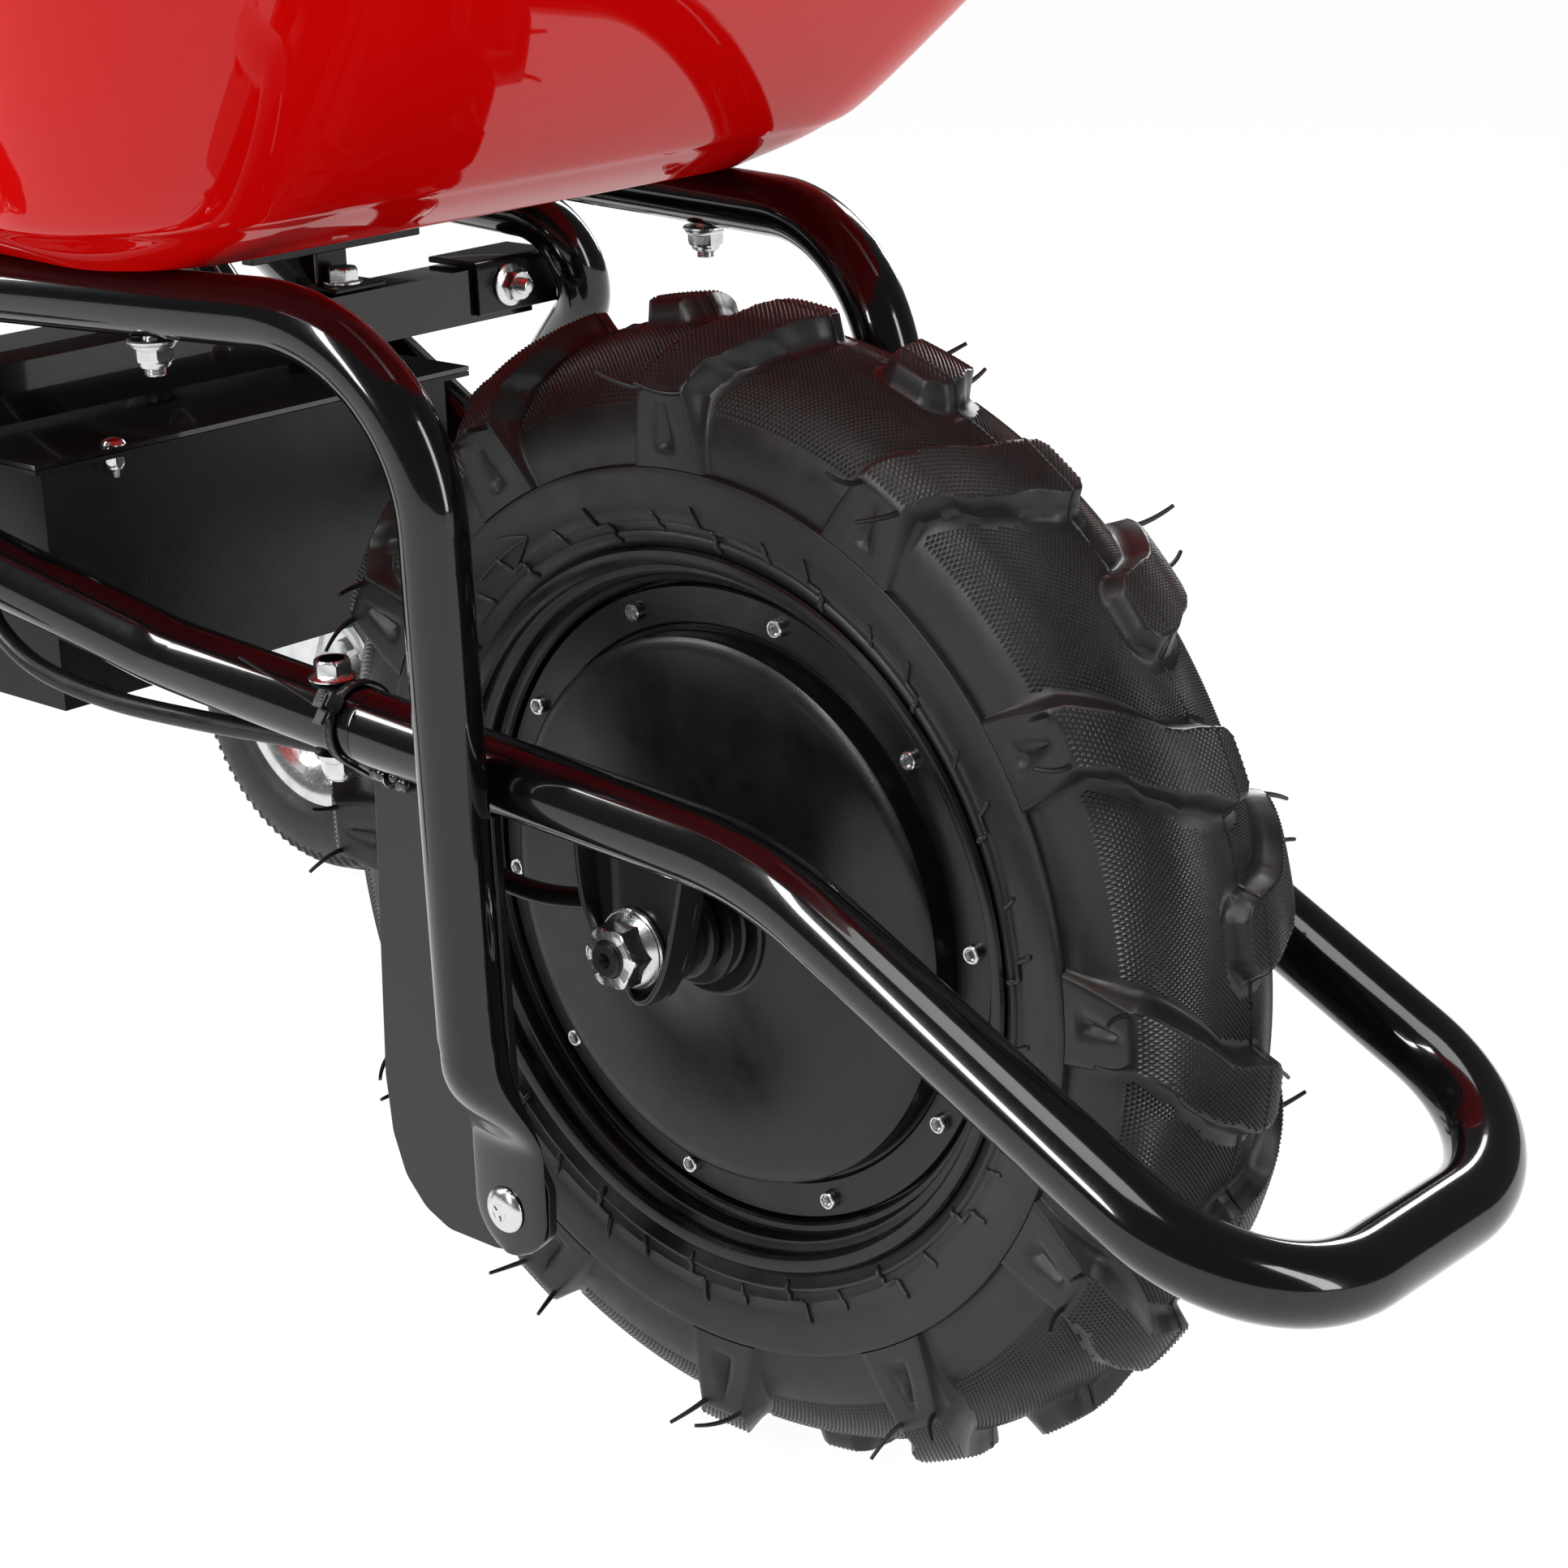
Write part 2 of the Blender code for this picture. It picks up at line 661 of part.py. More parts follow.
tray = mesh_object("tray", tray_points, tray_faces)
for word, side in SIDES.items():
    places = {"front": (support_x(TRAY_BOLT_Y), TRAY_BOLT_Y, 447.3), "rear": (REAR_BOLT[0], REAR_BOLT[1], 421.6)}
    for place, (x, y, seat) in places.items():
        drill(tray, (side * x, y, 474), (0, 0, 1), 4.4, 8)
        profile = [
            (0, 479.5),
            (6.5, 478.9),
            (9, 475.8),
            (3.9, 475.8),
            (3.9, seat),
            (9.2, seat),
            (9.2, seat - 1.8),
            (6.6, seat - 2.2),
            (6.6, seat - 8.3),
            (3.9, seat - 8.3),
            (3.9, seat - 11.3),
            (0, seat - 11.3),
        ]
        revolve("tray_bolt_" + place + "_" + word, profile, (side * x, y, 0), (0, 0, 1), 12, (7, 8))


# Grips and controls, each laid out along its handle tube
def on_handle(side, distance):
    """A frame on the handle tube: x out from the middle, y along the tube, z square to both."""
    along = on_side(side, HANDLE_AXIS)
    out = Vector((side, 0, 0))
    out = (out - along * out.dot(along)).normalized()
    up = out.cross(along) * side
    origin = on_side(side, HANDLE_KNEE + HANDLE_AXIS * distance)
    matrix = Matrix((out, along, up)).transposed().to_4x4()
    matrix.translation = origin
    return matrix


LENGTH = (HANDLE_END - HANDLE_KNEE).length
for word, side in SIDES.items():
    along = on_side(side, HANDLE_AXIS)
    origin = on_side(side, HANDLE_KNEE)
    start = LENGTH - 128
    closed = [(0, LENGTH + 5), (18, LENGTH + 4), (19, LENGTH - 4), (17.4, LENGTH - 20), (16.9, start + 7)]
    closed += [(19, start + 4), (19, start), (15.0, start), (15.0, LENGTH + 0.6), (0, LENGTH + 0.6)]
    revolve("grip_" + word, closed, origin, along, 16)

right_axis = on_side(RIGHT, HANDLE_AXIS)
right_origin = on_side(RIGHT, HANDLE_KNEE)
ring = [(15.0, LENGTH - 152), (20, LENGTH - 152), (20, LENGTH - 136), (15.0, LENGTH - 136)]
lever = revolve("throttle_lever", ring, right_origin, right_axis, 16)
paddle = block("throttle_paddle", (-46, -6, 4), (-16, 6, 10), on_handle(RIGHT, LENGTH - 144))
combine(lever, paddle, "UNION")
pod = block("control_pod", (-24, -34, 14.8), (24, 34, 46), on_handle(RIGHT, LENGTH - 200))
rocker_hole = block("rocker_hole", (-10, -26, 34), (10, 2, 60), on_handle(RIGHT, LENGTH - 200))
combine(pod, rocker_hole, "DIFFERENCE")
key_hole = revolve(
    "key_hole",
    [(0, 36), (7, 36), (7, 60), (0, 60)],
    on_handle(RIGHT, LENGTH - 200) @ Vector((0, 18, 0)),
    on_handle(RIGHT, LENGTH - 200).col[2].to_3d(),
    16,
)
combine(pod, key_hole, "DIFFERENCE")
block("rocker_switch", (-9, -24.5, 38), (9, 0.5, 47.5), on_handle(RIGHT, LENGTH - 200))
barrel = [(0, 37), (6.5, 37), (6.5, 48), (0, 48)]
key_centre = on_handle(RIGHT, LENGTH - 200) @ Vector((0, 18, 0))
key = revolve("key_switch", barrel, key_centre, on_handle(RIGHT, LENGTH - 200).col[2].to_3d(), 12)
bow = block("key_bow", (-1.2, 9, 46.7), (1.2, 27, 66), on_handle(RIGHT, LENGTH - 200))
combine(key, bow, "UNION")

left_axis = on_side(LEFT, HANDLE_AXIS)
left_origin = on_side(LEFT, HANDLE_KNEE)
perch_ring = [(15.0, LENGTH - 152), (19.5, LENGTH - 152), (19.5, LENGTH - 136), (15.0, LENGTH - 136)]
perch = revolve("brake_perch", perch_ring, left_origin, left_axis, 16)
ear = block("brake_ear", (-6, -8, -42), (6, 8, -16), on_handle(LEFT, LENGTH - 144))
combine(perch, ear, "UNION")
slot = block("brake_slot", (-3.4, -20, -60), (3.4, 20, -22), on_handle(LEFT, LENGTH - 144))
combine(perch, slot, "DIFFERENCE")
blade = block("brake_lever", (-2.9, -5, -48), (2.9, 26, -27), on_handle(LEFT, LENGTH - 144))
blade_arm = block("brake_blade", (-2.9, 20, -57), (2.9, 132, -45), on_handle(LEFT, LENGTH - 144))
combine(blade, blade_arm, "UNION")
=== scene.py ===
"""Looks of the power wheelbarrow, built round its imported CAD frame.

Lengths in this script are millimetres: x across (0 in the middle plane, the user's right is -x), y back
from the drive axle and z up from the ground. mm() turns such a point into the frame's metres.
Angles round the drive wheel are in degrees: 0 at the front, 90 at the top.
"""

import json
import math

import bmesh
import bpy
import numpy as np
from mathutils import Matrix, Vector, noise


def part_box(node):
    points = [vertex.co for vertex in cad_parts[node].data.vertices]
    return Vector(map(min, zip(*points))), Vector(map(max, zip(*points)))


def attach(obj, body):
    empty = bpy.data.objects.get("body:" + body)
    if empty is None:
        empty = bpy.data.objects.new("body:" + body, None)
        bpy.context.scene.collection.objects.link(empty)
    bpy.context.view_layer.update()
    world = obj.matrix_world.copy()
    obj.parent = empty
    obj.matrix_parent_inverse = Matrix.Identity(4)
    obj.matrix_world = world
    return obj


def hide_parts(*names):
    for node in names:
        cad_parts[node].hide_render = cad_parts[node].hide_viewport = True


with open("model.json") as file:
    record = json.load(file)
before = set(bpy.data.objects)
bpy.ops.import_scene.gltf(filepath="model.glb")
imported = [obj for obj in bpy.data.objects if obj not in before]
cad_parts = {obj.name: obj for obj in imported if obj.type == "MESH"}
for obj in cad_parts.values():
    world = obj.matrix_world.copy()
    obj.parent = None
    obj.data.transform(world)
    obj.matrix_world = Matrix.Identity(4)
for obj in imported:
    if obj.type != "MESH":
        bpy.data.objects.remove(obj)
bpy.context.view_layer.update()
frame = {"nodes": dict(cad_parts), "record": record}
NODES = frame["nodes"]
noise.seed_set(4)  # the weld beads' wobble is the same in each run


def middle(node):
    low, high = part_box(node)
    return (low + high) / 2


AXLE = middle("axle")
AXLE_Z = AXLE.z * 1000
WHEEL = (0, 0, AXLE_Z)
RIGHT = -1
LEFT = 1
SIDES = {"right": RIGHT, "left": LEFT}


def mm(point):
    return Vector((point[0] / 1000, AXLE.y + point[1] / 1000, point[2] / 1000))


def to_mm(point):
    """A frame point in metres, back in this script's millimetres."""
    return Vector((point[0] * 1000, (point[1] - AXLE.y) * 1000, point[2] * 1000))


def on_side(side, point):
    return Vector((side * point[0], point[1], point[2]))


def smooth(t):
    t = min(max(t, 0.0), 1.0)
    return t * t * (3 - 2 * t)


def lerp(a, b, t):
    return a + (b - a) * t


def spline(a, b, c, d, t):
    """A point t of the way from b to c on the Catmull-Rom curve through a, b, c and d."""
    return 0.5 * ((2 * b) + (c - a) * t + (2 * a - 5 * b + 4 * c - d) * t**2 + (3 * b - a - 3 * c + d) * t**3)


# ---- materials


class Graph:
    """Short calls for building one procedural material."""

    def __init__(self, name):
        self.material = bpy.data.materials.new(name)
        self.material.use_nodes = True
        self.nodes = self.material.node_tree.nodes
        self.links = self.material.node_tree.links
        self.shader = self.nodes["Principled BSDF"]
        self.place = self.nodes.new("ShaderNodeTexCoord").outputs["Object"]
        self.bumps = None

    def put(self, socket, value):
        if isinstance(value, bpy.types.NodeSocket):
            self.links.new(value, socket)
        elif isinstance(value, tuple):
            socket.default_value = (*value[:3], 1)
        else:
            socket.default_value = value

    def set(self, **values):
        for name, value in values.items():
            self.put(self.shader.inputs[name.replace("_", " ")], value)

    def add(self, kind, output, **values):
        """Adds a node with its inputs set and returns one of its outputs."""
        node = self.nodes.new("ShaderNode" + kind)
        for name, value in values.items():
            self.put(node.inputs[name], value)
        return node.outputs[output]

    def noise(self, scale, detail=2.0, rough=0.5, where=None):
        where = where or self.place
        return self.add("TexNoise", "Fac", Scale=scale, Detail=detail, Roughness=rough, Vector=where)

    def ramp(self, value, *stops):
        """A colour ramp through (position, colour or grey) stops."""
        node = self.nodes.new("ShaderNodeValToRGB")
        while len(node.color_ramp.elements) < len(stops):
            node.color_ramp.elements.new(0.5)
        for element, (at, colour) in zip(node.color_ramp.elements, stops):
            element.position = at
            element.color = (*colour, 1) if isinstance(colour, tuple) else (colour, colour, colour, 1)
        self.links.new(value, node.inputs["Fac"])
        return node.outputs["Color"]

    def stretch(self, x, y, z):
        """Object coordinates scaled unevenly, for grain that runs one way."""
        return self.add("Mapping", "Vector", Scale=Vector((x, y, z)), Vector=self.place)

    def bump(self, height, depth_mm, strength=1.0):
        """Relief on top of the relief so far."""
        under = {"Normal": self.bumps} if self.bumps else {}
        distance = depth_mm / 1000
        self.bumps = self.add("Bump", "Normal", Strength=strength, Distance=distance, Height=height, **under)
        self.set(Normal=self.bumps)


def enamel(name, colour, dark, rough, peel, coat=1.0, level=0.5):
    """Gloss paint: faint orange peel, slight colour drift and fine dust marks in its gloss."""
    g = Graph(name)
    g.set(Base_Color=g.ramp(g.noise(9, 3), (0.3, dark), (0.7, colour)))
    g.set(Roughness=g.ramp(g.noise(420, 3, 0.7), (0.35, rough), (0.8, rough + 0.05)))
    g.set(Coat_Weight=coat, Coat_Roughness=0.03, IOR=1.5, Specular_IOR_Level=level)
    g.bump(g.noise(160, 1), peel)
    g.bump(g.noise(28, 2), peel * 2.2, 0.6)
    return g.material


def textured_black(name, grey, rough, grain, depth):
    """Powder coat or satin paint with a fine crinkle."""
    g = Graph(name)
    g.set(Base_Color=g.ramp(g.noise(14, 3), (0.3, (grey * 0.75,) * 3), (0.75, (grey * 1.25,) * 3)))
    g.set(Roughness=g.ramp(g.noise(60, 4, 0.6), (0.3, rough - 0.05), (0.75, rough + 0.08)))
    g.set(Specular_IOR_Level=0.4)
    g.bump(g.noise(grain, 2, 0.6), depth)
    return g.material


def plated(name, colour, rough, brushed=False):
    """Zinc plate: soft cloudy tone, fine turning marks and a slightly uneven shine."""
    g = Graph(name)
    where = g.stretch(40, 900, 900) if brushed else None
    tone = g.noise(1 if brushed else 90, 3, 0.6, where)
    g.set(Metallic=1.0)
    g.set(Base_Color=g.ramp(tone, (0.3, tuple(c * 0.8 for c in colour)), (0.7, colour)))
    g.set(Roughness=g.ramp(g.noise(700, 3, 0.7), (0.3, rough), (0.75, rough + 0.14)))
    g.bump(g.noise(900, 2), 0.02)
    return g.material


def rubber(name, grey, rough, grain, dust=0.0):
    """Moulded rubber: a fine grain, a slow unevenness and pale dust in patches."""
    g = Graph(name)
    clean = (grey, grey, grey * 1.04)
    dusty = (grey + dust, grey + dust * 0.96, grey + dust * 0.9)
    g.set(Base_Color=g.ramp(g.noise(30, 4, 0.65), (0.35, clean), (0.8, dusty)))
    g.set(Roughness=g.ramp(g.noise(75, 4, 0.65), (0.3, rough - 0.08), (0.75, rough + 0.1)))
    g.set(Specular_IOR_Level=0.42)
    g.bump(g.noise(grain, 3, 0.6), 0.06)
    g.bump(g.noise(60, 2), 0.25, 0.5)
    return g.material


RECIPES = {
    "tray_enamel": (enamel, (0.60, 0.0015, 0.001), (0.56, 0.001, 0.001), 0.12, 0.004, 0.5, 0.0),
    "frame_enamel": (enamel, (0.0035, 0.0035, 0.004), (0.0025, 0.0025, 0.003), 0.14, 0.01, 0.75, 0.2),
    "plate_enamel": (enamel, (0.006, 0.006, 0.0065), (0.004, 0.004, 0.0045), 0.33, 0.02, 0.2, 0.35),
    "zinc": (plated, (0.78, 0.79, 0.8), 0.16),
    "zinc_dull": (plated, (0.62, 0.62, 0.6), 0.3, True),
    "axle_steel": (plated, (0.045, 0.043, 0.04), 0.42),
    "motor_core": (plated, (0.25, 0.19, 0.13), 0.5, True),
    "hub_casting": (textured_black, 0.004, 0.28, 500, 0.03),
    "cover_enamel": (textured_black, 0.004, 0.31, 900, 0.045),
    "drive_rubber": (rubber, 0.009, 0.4, 420, 0.004),
    "knurl_rubber": (rubber, 0.012, 0.32, 600, 0.006),
    "caster_rubber": (rubber, 0.016, 0.5, 300, 0.016),
    "box_coating": (textured_black, 0.006, 0.36, 900, 0.08),
    "lid_plastic": (enamel, (0.006, 0.006, 0.0065), (0.0045, 0.0045, 0.005), 0.2, 0.02),
    "battery_case": (textured_black, 0.04, 0.55, 500, 0.05),
    "controller_case": (plated, (0.5, 0.5, 0.52), 0.35, True),
    "cable_rubber": (rubber, 0.009, 0.34, 500),
    "tie_nylon": (textured_black, 0.008, 0.32, 700, 0.03),
    "grip_rubber": (rubber, 0.012, 0.6, 260),
    "control_plastic": (textured_black, 0.02, 0.42, 700, 0.06),
    "brake_metal": (textured_black, 0.02, 0.3, 600, 0.03),
    "bead_enamel": (enamel, (0.005, 0.005, 0.0055), (0.0035, 0.0035, 0.004), 0.2, 0.12),
}
MATERIALS = {name: recipe[0](name, *recipe[1:]) for name, recipe in RECIPES.items()}

for entry in frame["record"]["subparts"]:
    node = NODES.get(entry["node"])
    if node:
        node.data.materials.clear()
        node.data.materials.append(MATERIALS[entry["material_slot"]])


# ---- shapes


def across_pair(axis):
    """Two directions square to an axis and to each other."""
    first = Vector((0, 0, 1)) if abs(axis.z) < 0.9 else Vector((0, 1, 0))
    first = (first - axis * first.dot(axis)).normalized()
    return first, axis.cross(first)


def hex_radius(flats, angle):
    """How far a hexagon reaches at an angle, flats being its half width across flats."""
    return flats / math.cos((angle + math.pi / 6) % (math.pi / 3) - math.pi / 6)


class Shape:
    """A mesh made of one or more closed bodies."""

    def __init__(self):
        self.points = []
        self.faces = []

    def add(self, points, faces):
        base = len(self.points)
        self.points += [tuple(p) for p in points]
        self.faces += [tuple(base + i for i in face) for face in faces]
        return self

    def loft(self, rings, closed=True):
        """Joins rings of equal length. A closed loft caps its first and last rings."""
        count = len(rings[0])
        faces = []
        for k in range(len(rings) - 1):
            for i in range(count):
                j = (i + 1) % count
                faces.append((k * count + i, k * count + j, (k + 1) * count + j, (k + 1) * count + i))
        if closed:
            faces.append(tuple(range(count - 1, -1, -1)))
            faces.append(tuple(range((len(rings) - 1) * count, len(rings) * count)))
        return self.add([p for ring in rings for p in ring], faces)

    def tube_loft(self, outside, inside):
        """A wall between an outer and an inner run of rings, open at both ends."""
        rings = list(outside) + list(reversed(inside))
        rings.append(rings[0])
        return self.loft(rings, closed=False)

    def turned(self, profile, centre, axis=(1, 0, 0), count=64, hexes=(), loop=False):
        """A profile of (radius, distance along the axis) turned round it.

        hexes lists the profile points whose radius is a hexagon's half width across flats.
        loop joins the last point to the first, for a ring that doesn't reach the axis.
        """
        axis = Vector(axis).normalized()
        first, second = across_pair(axis)
        centre = Vector(centre)
        rings = []
        for index, (radius, along) in enumerate(profile):
            ring = []
            for step in range(count):
                angle = 2 * math.pi * step / count
                r = max(radius, 0.001)
                if index in hexes:
                    r = hex_radius(radius, angle)
                ring.append(centre + axis * along + r * (math.cos(angle) * first + math.sin(angle) * second))
            rings.append(ring)
        if loop:
            rings.append(rings[0])
        return self.loft(rings, closed=not loop)

    def rod(self, radius, low, high, centre, axis, count=24, hexes=()):
        """A cylinder, or a hexagon where hexes says so, between two distances along an axis."""
        return self.turned([(0, low), (radius, low), (radius, high), (0, high)], centre, axis, count, hexes)

    def swept(self, path, outer, sides=32, wall=0.0, normal=(1, 0, 0), dent=None):
        """A rod, or a tube with a wall, along a path.

        outer is one radius, or (radius along the normal, radius across it) for each point.
        dent(point number, angle) is subtracted from a radius.
        """
        path = [Vector(p) for p in path]
        last = len(path) - 1
        if not isinstance(outer, list):
            outer = [outer] * len(path)
        side = Vector(normal)
        outside = []
        inside = []
        for i, centre in enumerate(path):
            tangent = (path[min(i + 1, last)] - path[max(i - 1, 0)]).normalized()
            side = (side - tangent * side.dot(tangent)).normalized()
            up = tangent.cross(side)
            a, b = outer[i] if isinstance(outer[i], tuple) else (outer[i], outer[i])
            rings = ([], [])
            for k in range(sides):
                angle = 2 * math.pi * k / sides
                way = side * math.cos(angle), up * math.sin(angle)
                cut = dent(i, angle) if dent else 0
                for ring, thick in zip(rings, (0, wall)):
                    less = cut + thick
                    ring.append(centre + way[0] * max(a - less, 0.2) + way[1] * max(b - less, 0.2))
            outside.append(rings[0])
            inside.append(rings[1])
        if wall:
            return self.tube_loft(outside, inside)
        return self.loft(outside)

    def slab(self, outline, x_low, x_high):
        """A plate in the y-z plane."""
        rings = [[(x, y, z) for y, z in outline] for x in (x_low, x_high)]
        return self.loft(rings)

    def box(self, low, high, matrix=None):
        """A block between two corners, moved by the matrix."""
        xs, ys, zs = zip(low, high)
        points = [Vector((x, y, z)) for x in xs for y in ys for z in zs]
        if matrix:
            points = [matrix @ p for p in points]
        faces = [(0, 1, 3, 2), (4, 6, 7, 5), (0, 4, 5, 1), (2, 3, 7, 6), (0, 2, 6, 4), (1, 5, 7, 3)]
        return self.add(points, faces)

    def make(self, name, material, body="frame", slot=None, replaces=(), sharp=32, bevel=0.0, weld=True):
        """The piece itself: it rides on a body and stands for the CAD nodes that it replaces."""
        mesh = bpy.data.meshes.new(name)
        points = np.array(self.points, float) / 1000
        points[:, 1] += AXLE.y
        mesh.from_pydata(points.tolist(), [], self.faces)
        work = bmesh.new()
        work.from_mesh(mesh)
        if weld:
            bmesh.ops.remove_doubles(work, verts=work.verts, dist=4e-6)
        bmesh.ops.recalc_face_normals(work, faces=work.faces)
        work.to_mesh(mesh)
        work.free()
        mesh.shade_smooth()
        mesh.set_sharp_from_angle(angle=math.radians(sharp))
        made = bpy.data.objects.new(name, mesh)
        bpy.context.scene.collection.objects.link(made)
        mesh.materials.append(MATERIALS[material])
        if bevel:
            add_bevel(made, bevel)
        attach(made, body)
        if replaces:
            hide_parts(*replaces)
        return made


def mirrored(half):
    """A (radius, distance) profile and its mirror image, as one run."""
    return half + [(r, -x) for r, x in reversed(half)]


def add_bevel(made, width):
    """Rounds an object's sharp edges by a width in millimetres."""
    bevel = made.modifiers.new("soft_edges", "BEVEL")
    bevel.width = width / 1000
    bevel.segments = 3
    bevel.limit_method = "ANGLE"
    bevel.angle_limit = math.radians(32)
    bevel.harden_normals = True


def rounded(corners, radii, steps=14):
    """A path through the corners, each inner one replaced by an arc."""
    corners = [Vector(c) for c in corners]
    path = [corners[0]]
    for before, corner, after, radius in zip(corners, corners[1:], corners[2:], radii):
        into = (corner - before).normalized()
        out = (after - corner).normalized()
        turn = into.angle(out)
        start = corner - into * radius * math.tan(turn / 2)
        centre = corner + (out - into).normalized() * radius / math.cos(turn / 2)
        arm = (start - centre).normalized()
        for k in range(steps + 1):
            angle = turn * k / steps
            path.append(centre + radius * (math.cos(angle) * arm + math.sin(angle) * into))
    path.append(corners[-1])
    return path


def refined(path, gap):
    """The same path with points no further apart than gap."""
    dense = [path[0]]
    for a, b in zip(path, path[1:]):
        count = max(1, math.ceil((b - a).length / gap))
        dense += [a.lerp(b, k / count) for k in range(1, count + 1)]
    return dense


def curve_through(points, steps):
    """A smooth curve (Catmull-Rom) through a few points."""
    points = [Vector(p) for p in points]
    ends = [points[0] * 2 - points[1]] + points + [points[-1] * 2 - points[-2]]
    path = []
    for a, b, c, d in zip(ends, ends[1:], ends[2:], ends[3:]):
        for k in range(steps):
            path.append(spline(a, b, c, d, k / steps))
    path.append(points[-1])
    return path


def fillet_outline(outline, radii, steps=6):
    """A closed y-z outline with each corner rounded by its own radius."""
    result = []
    for k, radius in enumerate(radii):
        here = Vector(outline[k])
        back = (Vector(outline[k - 1]) - here).normalized()
        ahead = (Vector(outline[(k + 1) % len(outline)]) - here).normalized()
        turn = math.pi - back.angle(ahead)
        reach = radius * math.tan(turn / 2)
        start = here + back * reach
        end = here + ahead * reach
        for i in range(steps + 1):
            t = i / steps
            result.append(tuple((1 - t) ** 2 * start + 2 * t * (1 - t) * here + t**2 * end))
    return result


# ---- frame tubes

TUBE_R = 14.3
TUBE_WALL = 1.6
SUPPORT_R = 12.7
PLUG_R = 11.8  # the handle tube's reduced end, inside the loop's tube
BEND = Vector((87, -74, 279))
JOINT = Vector((101.72, 105.5, 299.13))


def frame_line(y):
    """A point of the loop's straight rear part, on the left."""
    return BEND + (JOINT - BEND) * (y - BEND.y) / (JOINT.y - BEND.y)


def wrinkle(path, spots):
    """A dent function for a tube bender's creases: spots are (point, facing, depth, half length)."""

    def dent(i, angle):
        depth = 0
        for where, facing, deep, reach in spots:
            away = (path[i] - where).length
            if away > 3 * reach:
                continue
            turn = math.cos(angle - facing)
            if turn < 0.2:
                continue
            ripple = math.cos(away / reach * math.pi * 0.5) * math.exp(-((away / (1.6 * reach)) ** 2))
            depth += deep * ripple * (turn - 0.2)
        return depth

    return dent


LOOP_NOSE = (87, -285, 169)
loop_corners = [on_side(RIGHT, p) for p in (JOINT, BEND, LOOP_NOSE)] + [LOOP_NOSE, BEND, JOINT]
loop_path = refined(rounded(loop_corners, [150, 60, 60, 150], 22), 6)
creases = [(Vector((side * 86, -72, 262)), math.radians(100), 1.5, 5) for side in (RIGHT, LEFT)]
Shape().swept(loop_path, TUBE_R, 40, TUBE_WALL, dent=wrinkle(loop_path, creases)).make(
    "front_loop_tube", "frame_enamel", replaces=["front_loop"]
)

HANDLE_KNEE = Vector((222, 645, 455))
HANDLE_END = Vector((285, 1030, 690))
HANDLE_AXIS = (HANDLE_END - HANDLE_KNEE).normalized()
HANDLE_LENGTH = (HANDLE_END - HANDLE_KNEE).length
# The handle tube's creases: (y, how far out and down from its centre line, facing, depth)
HANDLE_CREASES = [(207, 9, 8, 125, 2.6), (262, 12, 6, 110, 2.2)]
for word, side in SIDES.items():
    corners = [frame_line(106.3), frame_line(215), HANDLE_KNEE, HANDLE_END]
    path = [frame_line(78), frame_line(105.4)] + rounded(corners, [90, 140], 20)
    path = [on_side(side, p) for p in path]
    path.insert(3, path[2].lerp(path[3], 0.02))
    sizes = [PLUG_R, PLUG_R, TUBE_R - 0.5] + [TUBE_R] * (len(path) - 3)
    creases = []
    for y, out, down, facing, depth in HANDLE_CREASES:
        where = on_side(side, frame_line(y)) + Vector((side * out, 0, -down))
        creases.append((where, math.radians(90 - side * facing), depth, 6))
    Shape().swept(path, sizes, 40, TUBE_WALL, dent=wrinkle(path, creases)).make(
        "handle_bar_" + word, "frame_enamel", replaces=["handle_tube_" + word]
    )

SUPPORT_X = 124.6
SUPPORT_Z = 460.5
SPLAY = 0.17


def support_x(y):
    return SUPPORT_X + SPLAY * max(0, y - 40)


SCREW_Y, SCREW_Z = 44.5, 121
for word, side in SIDES.items():
    upper = rounded(
        [(SUPPORT_X - 1.9, 39.2, 200), (SUPPORT_X, 40, SUPPORT_Z), (support_x(520), 520, SUPPORT_Z)], [72], 22
    )
    path = []
    sizes = []
    # The lower end is pressed flat, with a round foot, and swells to the full tube above the screw
    for k in range(46):
        z = 102.6 + k * 2.05
        t = smooth((z - 146) / 44)
        x = lerp(104.3, SUPPORT_X - 2.8, t)
        y = lerp(44, 39.1, t)
        flat = lerp(2.4, SUPPORT_R, smooth((z - 142) / 50))
        wide = lerp(19.3, SUPPORT_R, smooth((z - 146) / 46))
        if z < 121.6:
            wide *= math.sqrt(max(0.02, 1 - ((121.6 - z) / 19.6) ** 2))
        path.append(Vector((x, y, z)))
        sizes.append((flat, wide))
    path += upper
    sizes += [(SUPPORT_R, SUPPORT_R)] * len(upper)
    path = [on_side(side, p) for p in path]
    crease_at = on_side(side, (SUPPORT_X + 1, 58, SUPPORT_Z - 19))
    dent = wrinkle(path, [(crease_at, math.radians(-90 * side), 1.0, 5)])
    Shape().swept(path, sizes, 40, dent=dent).make(
        "tray_support_" + word, "frame_enamel", replaces=["support_tube_" + word], sharp=40
    )

for word, side in SIDES.items():
    corners = [(226, 505, 434), (220, 280, 424), (272, 452, 275), (320, 650, 275), (237, 769.2, 524.2)]
    path = rounded([on_side(side, c) for c in corners], [30, 70, 60], 18)
    leg = Shape().swept(path, SUPPORT_R, 36, TUBE_WALL)
    leg.make("rear_leg_" + word, "frame_enamel", replaces=["leg_" + word])

# ---- plates and welds

gusset_outline = [
    (44, 277), (108.6, 284.3), (115.5, 156), (113.5, 132), (107.5, 115), (97, 104), (84, 98.5),
    (58, 98.5), (38, 102), (27, 112), (26, 132), (43, 158),
]
for word, side in SIDES.items():
    outline = fillet_outline(gusset_outline, [1, 1, 14, 14, 14, 14, 14, 14, 12, 8, 10, 12])
    gusset = Shape().slab(outline, side * 97.0, side * 101.4)
    plate = ["gusset_plate_" + word]
    gusset.make("gusset_" + word, "plate_enamel", slot="frame_enamel", replaces=plate, bevel=0.7)


